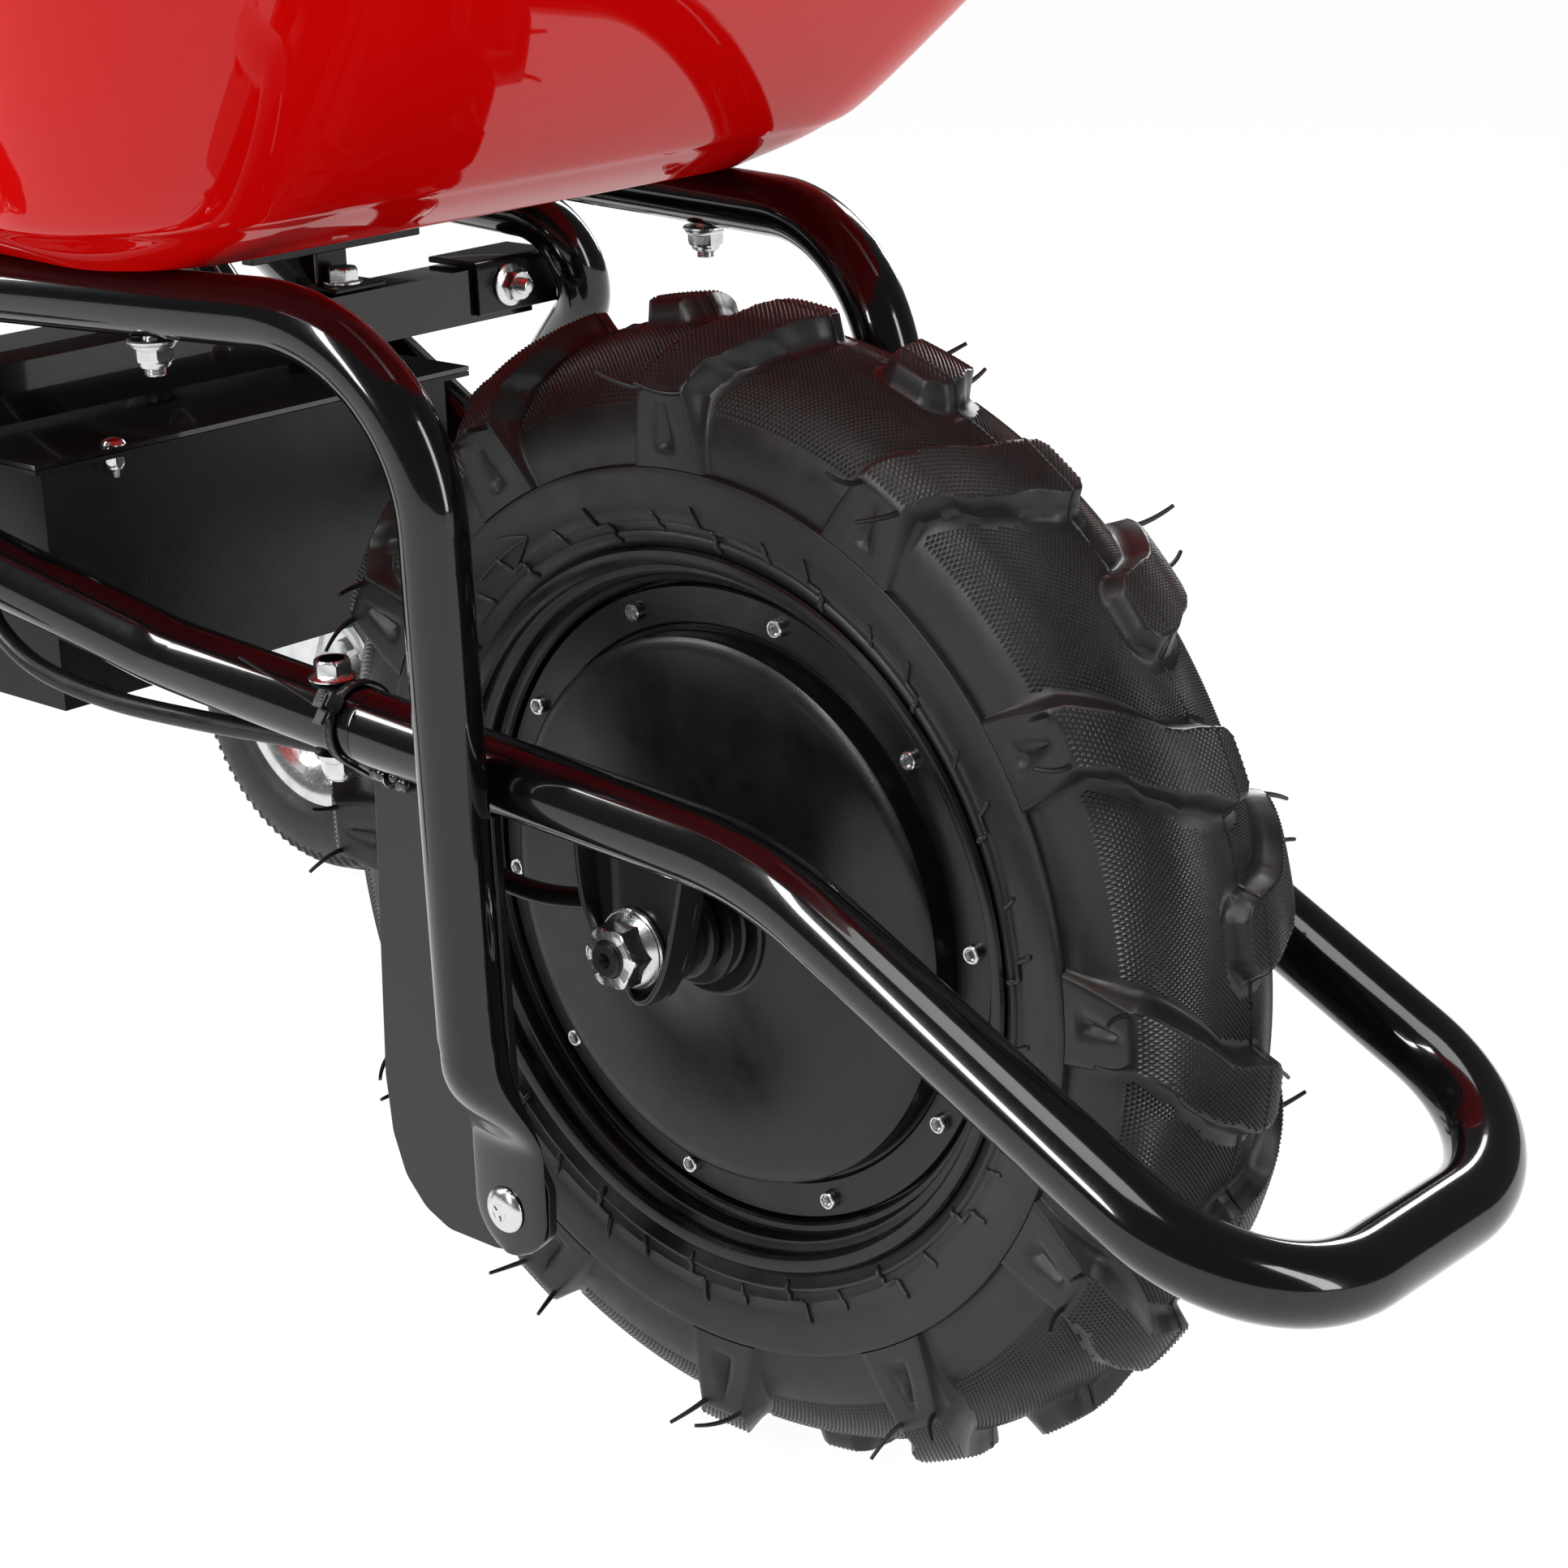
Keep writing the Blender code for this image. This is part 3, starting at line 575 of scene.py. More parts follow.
def bead(name, start, end, radius, count, seed):
    """A weld bead: overlapping uneven ripples between two points."""
    start, end = Vector(start), Vector(end)
    path = []
    sizes = []
    steps = count * 6
    for k in range(steps + 1):
        t = k / steps
        wobble = noise.noise_vector(Vector((t * count * 0.7, seed, 3.7))) * radius * 0.4
        swell = 0.72 + 0.28 * abs(math.sin(t * count * math.pi))
        swell *= 0.8 + 0.4 * noise.noise(Vector((seed, t * count, 1.3)))
        end_taper = 0.25 + 0.75 * math.sqrt(max(0, 1 - (2 * t - 1) ** 6))
        path.append(start.lerp(end, t) + wobble)
        sizes.append(max(0.6, radius * swell * end_taper))
    run = Shape().swept(path, sizes, 14, normal=(0.3, 0.2, 1))
    run.make(name, "bead_enamel", slot="frame_enamel", sharp=60)


# The beads of one side: start, end, radius, ripples and seed
BEADS = {
    "gusset_bead_": ((102.4, 85, 280.2), (102.2, 107.5, 282.6), 5.0, 6, 5.1),
    "leg_bead_": ((252, 750, 496), (233, 762, 500), 3.2, 5, 6.4),
    "gusset_run_": ((96.6, 46, 278.6), (98, 104, 283.8), 2.1, 14, 9.3),
    "bracket_front_bead_": ((80, -33, 268), (86, -15, 271), 3.0, 4, 2.2),
    "bracket_rear_bead_": ((80, 10, 274.5), (84, 26, 276), 3.0, 4, 7.7),
    "cross_bead_": ((213, 348, 406), (215, 369, 406), 3.2, 5, 4.4),
}
for word, side in SIDES.items():
    for name, (start, end, radius, count, seed) in BEADS.items():
        bead(name + word, on_side(side, start), on_side(side, end), radius, count, seed)

# ---- fasteners


def nut(shape, centre, axis, flats, low, height, hole=0.0):
    """A hexagon whose corners are turned off by a cone at its outer end, with a hole of a given radius."""
    axis = Vector(axis).normalized()
    first, second = across_pair(axis)
    centre = Vector(centre)
    count = 72
    rings = []
    corner = flats / math.cos(math.pi / 6)
    levels = [(0, corner), (height - 2.0, corner), (height - 1.4, corner * 0.985)]
    levels += [(height - 0.7, corner * 0.945), (height, flats * 0.97)]
    for along, cone in levels:
        ring = []
        for step in range(count):
            angle = 2 * math.pi * step / count
            r = min(hex_radius(flats, angle), cone)
            out = math.cos(angle) * first + math.sin(angle) * second
            ring.append(centre + axis * (low + along) + r * out)
        rings.append(ring)
    if hole:
        top = centre + axis * (low + height)
        ring = [top + (p - centre - axis * (low + height)).normalized() * hole for p in ring]
        rings.append(ring)
        rings.append([p - axis * (height * 0.8) for p in ring])
    shape.loft(rings)
    return shape


def thread(shape, centre, axis, radius, low, high, pitch=1.0):
    """A threaded end, as closely stacked ridges with a chamfered tip."""
    profile = [(radius - 0.5, low)]
    along = low
    while along < high - pitch:
        profile.append((radius, along + pitch * 0.35))
        profile.append((radius - 0.55, along + pitch * 0.85))
        along += pitch
    profile += [(radius - 0.9, high - 0.3), (radius - 1.6, high), (0, high)]
    return shape.turned([(0, low)] + profile, centre, axis, 32)


def flange_nut(shape, centre, axis, flats, flange, low):
    """A nylon-insert flange nut: dished flange, hexagon, domed collar."""
    dish = [(0, low), (flange - 0.5, low), (flange, low + 0.5), (flange - 0.4, low + 1.2)]
    shape.turned(dish + [(flats * 1.02, low + 2.4), (0, low + 2.4)], centre, axis, 64)
    nut(shape, centre, axis, flats, low + 1.6, 5.4)
    top = low + 6.6
    collar = [(0, top), (flats * 0.9, top), (flats * 0.9, top + 1.3), (flats * 0.82, top + 2.1)]
    shape.turned(collar + [(flats * 0.62, top + 2.4), (0, top + 2.4)], centre, axis, 48)


DOWN = (0, 0, -1)
UP = (0, 0, 1)
BOLT_HEAD_Z = 475.4
TRAY_BOLT_SPOTS = {"front": (support_x(161), 161, SUPPORT_Z - SUPPORT_R), "rear": (95, 480, 421.9)}
for place, (x, y, under) in TRAY_BOLT_SPOTS.items():
    for word, side in SIDES.items():
        centre = (side * x, y, under)
        shape = Shape()
        shape.turned([(0, 0.2), (8.6, 0.2), (9.4, 0.7), (9.4, 1.5), (8.6, 1.9), (0, 1.9)], centre, DOWN, 64)
        flange_nut(shape, centre, DOWN, 6.6, 8.6, 1.9)
        thread(shape, centre, DOWN, 4.0, 8.0, 14.2)
        head = (side * x, y, BOLT_HEAD_Z)
        dome = [(0, 0), (8.8, 0.2), (9.0, 0.8), (7.6, 2.4), (5.2, 3.5), (2.4, 4.0), (0, 4.1)]
        shape.turned(dome, head, UP, 64)
        shape.rod(3.9, -30, 0.2, head, UP)
        shape.make(f"tray_fixing_{place}_{word}", "zinc", replaces=[f"tray_bolt_{place}_{word}"])

for word, side in SIDES.items():
    centre = on_side(side, frame_line(125.5))
    shape = Shape()
    shape.turned([(0, 14.2), (9.2, 14.3), (9.4, 15.0), (6.8, 16.6), (0, 16.6)], centre, UP, 64)
    nut(shape, centre, UP, 6.5, 15.6, 6.4)
    shape.turned([(0, 21.4), (5.4, 21.4), (4.9, 22.0), (0, 22.0)], centre, UP, 48)
    shape.rod(9.3, 14.4, 16.0, centre, DOWN, 64)
    flange_nut(shape, centre, DOWN, 6.5, 8.4, 15.8)
    thread(shape, centre, DOWN, 4.0, 22, 26.2)
    shape.make("joint_fixing_" + word, "zinc", replaces=["joint_bolt_" + word])

# Truss-head cross-recess screws through the flattened support ends
for word, side in SIDES.items():
    centre = (side * 106.7, SCREW_Y, SCREW_Z)
    axis = (side, 0, 0)
    shape = Shape()
    dome = [(0, 0)]
    dome += [(9.3 * math.cos(a), 0.3 + 3.6 * math.sin(a)) for a in np.linspace(0, math.pi / 2 - 0.38, 9)]
    recess_r = dome[-1][0]
    shape.turned(dome + [(recess_r - 0.1, 3.35), (0, 2.9)], centre, axis, 72)
    # The cross: four wedges standing in a shallow dish leave the recess between them
    wedge = ((1.15, 1.15), (3.2, 1.15), (2.35, 2.35), (1.15, 3.2))
    faces = [(0, 1, 2, 3), (4, 7, 6, 5), (0, 4, 5, 1), (1, 5, 6, 2), (2, 6, 7, 3), (3, 7, 4, 0)]
    for k in range(4):
        turn = Matrix.Rotation(math.radians(90 * k + 45 + 12), 4, "X")
        spot = Matrix.Translation(Vector(centre)) @ turn
        ends = (side * 2.9, side * 3.62)
        shape.add([spot @ Vector((px, py, pz)) for px in ends for py, pz in wedge], faces)
    shape.rod(6.5, -9, -16, centre, axis, 48, hexes=(1, 2))
    shape.rod(3.9, -16, 0.4, centre, axis)
    shape.make("cross_screw_" + word, "zinc", replaces=["support_screw_" + word])

# The clip is an angle over the left end of the front cross member, from there to the leg
clip_low, clip_high = (to_mm(p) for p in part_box("clip_bracket"))
CLIP_FROM, CLIP_TO, CLIP_DEPTH, CLIP_THICK = 180, 231, 34, 3
clip_outline = [
    (clip_low.y, clip_low.z),
    (clip_low.y + CLIP_THICK, clip_low.z),
    (clip_low.y + CLIP_THICK, clip_high.z - CLIP_THICK + 0.1),
    (clip_low.y + CLIP_DEPTH, clip_high.z - CLIP_THICK + 0.1),
    (clip_low.y + CLIP_DEPTH, clip_high.z),
    (clip_low.y, clip_high.z),
]
clip = Shape().slab(fillet_outline(clip_outline, [1.2, 1.2, 1, 1.2, 1.2, 4.2]), CLIP_FROM, CLIP_TO)
clip.make("clip_angle", "plate_enamel", slot="frame_enamel", replaces=["clip_bracket"], bevel=0.6)

# Clip nut on the front cross member
centre = to_mm(middle("clip_bolt"))
centre.y = clip_low.y
shape = Shape()
shape.turned([(0, 0.1), (9.6, 0.1), (10.2, 0.7), (10.0, 1.7), (7.0, 3.2), (0, 3.2)], centre, (0, -1, 0), 64)
nut(shape, centre, (0, -1, 0), 6.6, 2.2, 6.4, 3.9)
thread(shape, centre, (0, -1, 0), 3.8, 2, 13.6)
shape.make("clip_nut", "zinc", replaces=["clip_bolt"])

# The small screws through the box flange
BOX_FRONT = 283
FLANGE_Z = 376
for word, side in SIDES.items():
    centre = (side * 75, BOX_FRONT + 4.6, FLANGE_Z)
    shape = Shape()
    shape.turned([(0, 2.5), (5.0, 2.5), (5.2, 3.1), (4.2, 4.6), (2.4, 5.3), (0, 5.5)], centre, UP, 48)
    nut(shape, centre, DOWN, 3.7, 2.2, 4.2)
    shape.turned([(0, 6.2), (3.3, 6.2), (3.3, 7.2), (2.6, 7.8), (0, 7.8)], centre, DOWN, 36)
    thread(shape, centre, DOWN, 2.0, 7, 11.5, 0.8)
    shape.make("flange_screw_" + word, "zinc")

# ---- drive axle

for word, side in SIDES.items():
    axis = (side, 0, 0)
    shape = Shape()
    washer = [(7.6, 74.8), (15.0, 74.8), (15.6, 75.3), (15.6, 76.9), (15.0, 77.4), (7.6, 77.4)]
    flange = [(7.6, 77.2), (14.2, 77.2), (14.4, 78.0), (11.6, 80.4), (7.6, 80.4)]
    for profile in (washer, flange):
        shape.turned(profile, WHEEL, axis, 72, loop=True)
    nut(shape, WHEEL, axis, 11.1, 78.6, 10.6, 7.4)
    shape.make("axle_hex_" + word, "zinc", replaces=["axle_nut_" + word])
shape = Shape()
half = [(9.8, 22), (8.0, 22), (8.0, 48.5), (12, 48.5), (12, 70.1), (7.1, 70.1)]
for k in range(13):
    half += [(7.1, 77.2 + k), (6.6, 77.7 + k)]
half += [(6.7, 90.6), (6.1, 91.4), (3.0, 91.4), (2.6, 90.6), (1.0, 86.5), (0, 86.2)]
profile = [(r, -x) for r, x in reversed(half)] + half
shape.turned(profile, WHEEL, (1, 0, 0), 64)
shape.make("axle_rod", "axle_steel", replaces=["axle"])

dropout_outline = [(-36, 279), (24, 280.5), (22, 250), (18, 222), (9, 211), (-3, 207.5)]
dropout_outline += [(-14, 211), (-24, 226), (-31, 250)]
# Each lip is a strip along the plate's edge, turned outward and thinning at its ends: (y, z, reach)
FRONT_LIP = [(-33.6, 268, 9.5), (-29.2, 250, 9.5), (-22.2, 227, 9.2), (-13.2, 213.4, 8.0)]
FRONT_LIP += [(-3, 208.6, 5.0), (6, 211.2, 1.0)]
REAR_LIP = [(21.6, 276, 8.5), (20.2, 250, 8.2), (18.0, 233, 5.5), (15.6, 224, 1.0)]
for word, side in SIDES.items():
    outline = fillet_outline(dropout_outline, [1, 1, 20, 9, 8, 10, 10, 14, 20])
    shape = Shape().slab(outline, side * 70.5, side * 74.5)
    for lip in (FRONT_LIP, REAR_LIP):
        line = curve_through(lip, 5)
        rings = []
        for k, (y, z, far) in enumerate(line):
            ahead = line[min(k + 1, len(line) - 1)] - line[max(k - 1, 0)]
            across = Vector((ahead[1], -ahead[0])).normalized() * 1.5
            section = [(72.6, -1), (72.6, 1), (74 + far * 0.6, 1.05)]
            section += [(74.4 + far, 0.7), (74.7 + far, 0), (74.4 + far, -0.7)]
            rings.append([(side * x, y + across.x * share, z + across.y * share) for x, share in section])
        shape.loft(rings)
    bracket = ["axle_bracket_" + word]
    shape.make("dropout_" + word, "plate_enamel", slot="frame_enamel", replaces=bracket, bevel=0.6)

# ---- hub


def wheel_point(radius, x, phi):
    """A point on the wheel, with phi in degrees from the front over the top."""
    angle = math.radians(phi)
    return Vector((x, -radius * math.cos(angle), AXLE_Z + radius * math.sin(angle)))


rim_half = [
    (112, 16.3), (124.9, 16.3), (125.2, 18.5), (125.6, 22.5), (126.6, 23.6), (128.6, 24.0),
    (129.4, 25.0), (129.6, 29.0), (130.4, 30.3), (133.2, 31.0), (134.2, 32.2), (134.6, 35.4),
    (135.8, 36.9), (138.0, 37.6), (140.2, 37.4), (141.2, 36.2), (141.0, 34.8), (133, 30.4),
    (130.6, 29.4), (128.4, 14), (119, 8),
]
Shape().turned(mirrored(rim_half), WHEEL, (1, 0, 0), 144, loop=True).make(
    "wheel_rim", "hub_casting", "drive_wheel", replaces=["hub_rim"], sharp=30
)

COVER_SCREW_R = 117
COVER_SCREWS = 10
COVER_SCREW_PHASE = 4.5
cover_profile = [
    (8.6, 24), (100, 24), (104, 16.8), (123.4, 16.8), (124.2, 17.6), (124.2, 20.8), (123.4, 21.7),
    (110.2, 21.9), (108.9, 20.6), (107.9, 20.6), (107.4, 21.6), (107.2, 29.4), (106.6, 31.2),
    (104.8, 32.4), (100, 32.9), (60, 34.4), (31, 35.6), (29.4, 36.6), (29.0, 38.4), (28.0, 39.4),
    (22.2, 39.6), (21.2, 40.6), (20.8, 43.6), (22.6, 44.0), (23.2, 45.0), (22.8, 47.0), (21.8, 47.5),
    (8.6, 47.5),
]
COVER_SCREW = [(0, 0), (3.4, 0), (3.5, 0.5), (3.5, 2.6), (3.1, 3.0)]
COVER_SCREW += [(2.4, 3.0), (2.15, 2.7), (2.15, 0.5), (0, 0.2)]  # its hexagonal socket
collar_profile = [
    (12.1, 49), (17.5, 49), (18.6, 50), (18.6, 53), (17.4, 54), (15.6, 54.4), (15.2, 58),
    (16.8, 58.8), (17.4, 60), (17.2, 63.6), (16.0, 64.6), (14.2, 65), (13.8, 70), (12.1, 70),
]
for word, side in SIDES.items():
    Shape().turned([(r, side * x) for r, x in cover_profile], WHEEL, (1, 0, 0), 144, loop=True).make(
        "motor_end_cover_" + word, "cover_enamel", "drive_wheel", replaces=["motor_cover_" + word], sharp=30
    )
    screws = Shape()
    for k in range(COVER_SCREWS):
        spot = wheel_point(COVER_SCREW_R, side * 21.7, COVER_SCREW_PHASE + 36 * k)
        screws.turned(COVER_SCREW, spot, (side, 0, 0), 36, hexes=(5, 6, 7))
    screws.make("cover_screws_" + word, "zinc", "drive_wheel", sharp=28)
    collars = Shape().turned(collar_profile, WHEEL, (side, 0, 0), 72, loop=True)
    collars.make("axle_collars_" + word, "tie_nylon", slot="frame_enamel", sharp=30)

# ---- drive tyre

LUGS = 12
PITCH = 360 / LUGS
LUG_PHASE = 1.0  # the wheel angle of the first right-hand lug's reference line
CROWN_R, CROWN_CENTRE = 52.0, 176.0  # the arc over the lugs' tops, and its centre's radius
CARCASS_R, CARCASS_CENTRE = 40.0, 179.0
SHOULDER_X = 44.4  # the lug tops reach this far from the middle plane
CARCASS_SHARE = 35.0 / 45.0
END_X, END_FOOT_X = -8.6, -13.6  # a lug's inner end runs past the centre line by this much
# Past that end its lines spread, over this width, to even ones at these shares of the gap
FADE = 16
EVEN_LINES = (0.35, 0.45, 0.55, 0.65)

# How a lug's edges run, as (distance from the middle plane, degrees from its reference line)
TOP_LEFT = [(45, -2.6), (41, -3.2), (36.8, -3.85), (33.5, -5.7), (26, -7.4), (20, -8.25)]
TOP_LEFT += [(13.5, -8.7), (7, -9.7), (2.5, -10.2), (-5, -10.2), (-7.6, -9.7), (-8.6, -8.8)]
TOP_RIGHT = [(45, 3.5), (41, 3.0), (36.8, 1.8), (29, 0.1), (24, -1.1), (18, -2.6)]
TOP_RIGHT += [(12.7, -3.2), (7, -3.4), (1, -3.85), (-5, -4.2), (-7.6, -4.7), (-8.6, -5.5)]
FOOT_LEFT = [(45, -4.3), (39, -6.0), (36, -6.2), (32, -8.0), (25, -9.0), (22, -10.0), (14.5, -10.9)]
FOOT_LEFT += [(7, -11.8), (-6, -12.0), (-10, -11.4), (-13.6, -9.8)]
FOOT_RIGHT = [(45, 5.2), (36.8, 3.4), (29, 1.4), (18, -1.3), (7, -2.2)]
FOOT_RIGHT += [(-6, -2.7), (-10, -3.2), (-13.6, -4.6)]


def read_at(points, x):
    """The second value at a first value of x, by straight interpolation between (first, second) points."""
    firsts, seconds = zip(*sorted(points))
    return float(np.interp(x, firsts, seconds))


def lug_lines(x):
    """The four lines of a right-hand lug at x millimetres right of the middle plane, before it fades out."""
    return [read_at(edge, x) for edge in (FOOT_LEFT, TOP_LEFT, TOP_RIGHT, FOOT_RIGHT)]


def all_lines(x):
    """The eight lines of one pitch, right-hand lug first, at x right of the middle plane."""
    near = lug_lines(x)
    far = [PITCH / 2 + v for v in lug_lines(-x)]
    fade = smooth((-x + END_FOOT_X) / FADE)
    if fade > 0:
        near = [lerp(v, lerp(far[3] - PITCH, far[0], s), fade) for v, s in zip(near, EVEN_LINES)]
    fade = smooth((x + END_FOOT_X) / FADE)
    if fade > 0:
        low, high = near[3], near[0] + PITCH
        far = [lerp(v, lerp(low, high, s), fade) for v, s in zip(far, EVEN_LINES)]
    return near, far


def lug_fade(x):
    """1 where a right-hand lug is full height, 0 past its inner end."""
    return smooth((x - END_FOOT_X) / (END_X - END_FOOT_X))


def crown_top(x):
    """Radius and x on the lugs' tops, for one x or an array of them."""
    return CROWN_CENTRE + np.sqrt(CROWN_R**2 - x**2), x


def crown_base(x):
    """Radius and x on the carcass under such a point."""
    x = x * CARCASS_SHARE
    return CARCASS_CENTRE + np.sqrt(CARCASS_R**2 - x**2), x


def wheel_points(radii, xs, degrees):
    """Points on the wheel, from arrays of radius, x to the right and angle."""
    turn = np.radians(degrees)
    return np.stack([-xs, -radii * np.cos(turn), AXLE_Z + radii * np.sin(turn)], -1)


# The lug's outer side, from the ring line up to the shoulder: (lug radius, lug x, carcass radius, carcass x)
SIDE_LOW, SIDE_HIGH = 172.4, 201.6
side_rows = []
for k in range(17):
    t = k / 16
    r = lerp(SIDE_LOW, SIDE_HIGH, t)
    base_r = lerp(172.6, 198.2, t)
    base_x = 39.9 if base_r < CARCASS_CENTRE else math.sqrt(CARCASS_R**2 - (base_r - CARCASS_CENTRE) ** 2)
    side_rows.append((r, lerp(42.6, 44.9, t), base_r, base_x))

WALL_STEPS = ((0, 0), (0.3, 0.06), (0.55, 0.4), (0.92, 0.96))
LUG_COLUMNS = 12
GAP_COLUMNS = 9


def widened(lines, side_t):
    """A lug's lines on its outer side, side_t of the way up, where it widens towards the wheel's middle."""
    wall = lerp(0.5, 1.0, side_t)
    left = lines[1] - 2.0 * (1 - side_t)
    right = lines[2] + 2.4 * (1 - side_t)
    return [left - (lines[1] - lines[0]) * wall, left, right, right + (lines[3] - lines[2]) * wall]


def columns(x, side_t=None):
    """One row across a pitch, as (degrees, height, which): 0 the right-hand lug, 1 the left, 2 between."""
    near, far = all_lines(x)
    if side_t is not None:
        if x > 0:
            near = widened(near, side_t)
        else:
            far = widened(far, side_t)
    found = []

    def run(lines, high, which):
        for t, h in WALL_STEPS:
            found.append((lerp(lines[0], lines[1], t), h * high, which))
        for k in range(LUG_COLUMNS + 1):
            found.append((lerp(lines[1], lines[2], k / LUG_COLUMNS), high, which))
        for t, h in reversed(WALL_STEPS):
            found.append((lerp(lines[3], lines[2], t), h * high, which))

    run(near, lug_fade(x), 0)
    found += [(lerp(near[3], far[0], k / GAP_COLUMNS), 0, 2) for k in range(1, GAP_COLUMNS)]
    run(far, lug_fade(-x), 1)
    found += [(lerp(far[3], near[0] + PITCH, k / GAP_COLUMNS), 0, 2) for k in range(1, GAP_COLUMNS)]
    return found


PIT_FROM, PIT_TO = 0.2, 0.84  # shares of the way up a lug's outer side
PIT_DEPTH = 3.4
PIT_HALF, PIT_TIP = 1.75, 0.15  # degrees: its half width at the foot and what is left of it at the tip


def recess(t, phi, lines):
    """Depth of the three-sided pit in a lug's outer side, t of the way up it."""
    middle_phi = lerp(lines[1], lines[2], 0.5) + 0.15
    if not PIT_FROM < t < PIT_TO:
        return 0
    up = (t - PIT_FROM) / (PIT_TO - PIT_FROM)
    half = PIT_HALF * (1 - up) + PIT_TIP
    across = abs(phi - middle_phi) / half
    if across >= 1:
        return 0
    return PIT_DEPTH * min(1 - across, up * 5, 1.0) * (1 - 0.3 * up)


# The tyre's surface as rows of (radius, x, degrees), x being positive on the right-hand side here
tyre_rows = []


def plain_row(r, x):
    """A row below the lugs."""
    tyre_rows.append([(r, x, phi) for phi, _, _ in columns(math.copysign(40, x), 0.0)])


def lug_row(x, top, base, side_t=None):
    """A row over the lugs, between (radius, x) on their tops and on the carcass between them."""
    row = []
    near, far = all_lines(x)
    lines = near if x > 0 else far
    for phi, high, which in columns(x, side_t):
        r = lerp(base[0], top[0], high)
        across = lerp(base[1], top[1], high)
        if side_t is not None and high > 0.99 and which == (0 if x > 0 else 1):
            depth = recess(side_t, phi, lines)
            across -= math.copysign(depth, across)
        row.append((r, across, phi))
    tyre_rows.append(row)


sidewall = [
    (130.2, 29.8), (132.6, 31.4), (137, 32.4), (141.0, 34.4), (143.6, 36.4), (145.2, 37.6),
    (146.2, 38.8), (147.2, 38.8), (148.0, 38.1), (150.2, 38.9), (151.2, 39.6), (152.2, 39.2),
    (156, 40.6), (161, 41.8), (165, 42.3), (169, 42.5), (171.2, 42.7), (171.9, 42.4), (172.2, 41.4),
]
SIDE_COUNT = len(side_rows) - 1
for r, x in sidewall:
    plain_row(r, x)
for k, (r, x, base_r, base_x) in enumerate(side_rows):
    lug_row(SHOULDER_X, (r, x), (base_r, base_x), k / SIDE_COUNT)
CROWN_STEP = 1.5
for x in [44.2, 43.6] + [42.75 - CROWN_STEP * k for k in range(58)] + [-43.6, -44.2]:
    lug_row(x, crown_top(x), crown_base(x))
for k, (r, x, base_r, base_x) in reversed(list(enumerate(side_rows))):
    lug_row(-SHOULDER_X, (r, -x), (base_r, -base_x), k / SIDE_COUNT)
for r, x in reversed(sidewall):
    plain_row(r, -x)
inside = [(129.7, -22), (160, -30), (190, -26), (205, -8)]
for r, x in inside + [(r, -x) for r, x in reversed(inside)]:
    tyre_rows.append([(r, x, phi) for _, _, phi in tyre_rows[0]])

tyre = Shape()
grid = np.array(tyre_rows)
angles = np.concatenate([grid[:, :, 2] + LUG_PHASE + PITCH * k for k in range(LUGS)], axis=1)
tyre_points = wheel_points(np.tile(grid[:, :, 0], (1, LUGS)), np.tile(grid[:, :, 1], (1, LUGS)), angles)
rows, cols = tyre_points.shape[:2]
index = np.arange(rows * cols).reshape(rows, cols)
below = np.roll(index, -1, axis=0)
quads = np.stack([index, np.roll(index, -1, axis=1), np.roll(below, -1, axis=1), below], -1).reshape(-1, 4)
tyre.add(tyre_points.reshape(-1, 3).tolist(), quads.tolist())
tyre.make("lug_tyre", "drive_rubber", "drive_wheel", replaces=["drive_tyre"], sharp=48, weld=False)

# Knurling: rows of small pyramids on the lug tops and on the carcass between them
KNURL_STEP = 1.04
KNURL_FROM = 47.3
KNURL_PER_PITCH = 52
KNURL_HEIGHT = 0.62
KNURL_KEEP_OFF = 0.9  # degrees left smooth beside a wall

knurl = Shape()
knurl_points = []
for row in range(int(2 * KNURL_FROM / KNURL_STEP) + 1):
    x = KNURL_FROM - row * KNURL_STEP
    near, far = all_lines(x)
    near_high, far_high = lug_fade(x), lug_fade(-x)
    for k in range(KNURL_PER_PITCH):
        phi = PITCH * (k + 0.5 * (row % 2)) / KNURL_PER_PITCH - 13
        if phi > near[0] + PITCH:
            phi -= PITCH
        if phi < near[0]:
            phi += PITCH
        on_near = near_high == 1 and near[1] + 0.12 < phi < near[2] - 0.12
        on_far = far_high == 1 and far[1] + 0.12 < phi < far[2] - 0.12
        if abs(x) < 43.4 and (on_near or on_far):
            knurl_points.append((x, phi, 1.0))
            continue
        free_near = near_high == 0 or phi > near[3] + KNURL_KEEP_OFF * 0.4
        free_next = near_high == 0 or phi < near[0] + PITCH - KNURL_KEEP_OFF
        clear_far = far_high == 0 or phi < far[0] - KNURL_KEEP_OFF or phi > far[3] + KNURL_KEEP_OFF * 0.4
        if free_near and free_next and clear_far:
            knurl_points.append((x, phi, 0.0))

knurl_x, knurl_phi, knurl_high = np.array(knurl_points).T


def tread_points(x, phi, high, lift):
    """Points of the tread at arrays of x, degrees and height, lifted off it."""
    top, base = crown_top(x), crown_base(x)
    r = lerp(base[0], top[0], high)
    across = lerp(base[1], top[1], high)
    slope = across / np.where(high > 0.5, CROWN_R, CARCASS_R)
    return wheel_points(r + lift * np.sqrt(1 - slope**2), across + lift * slope, phi)


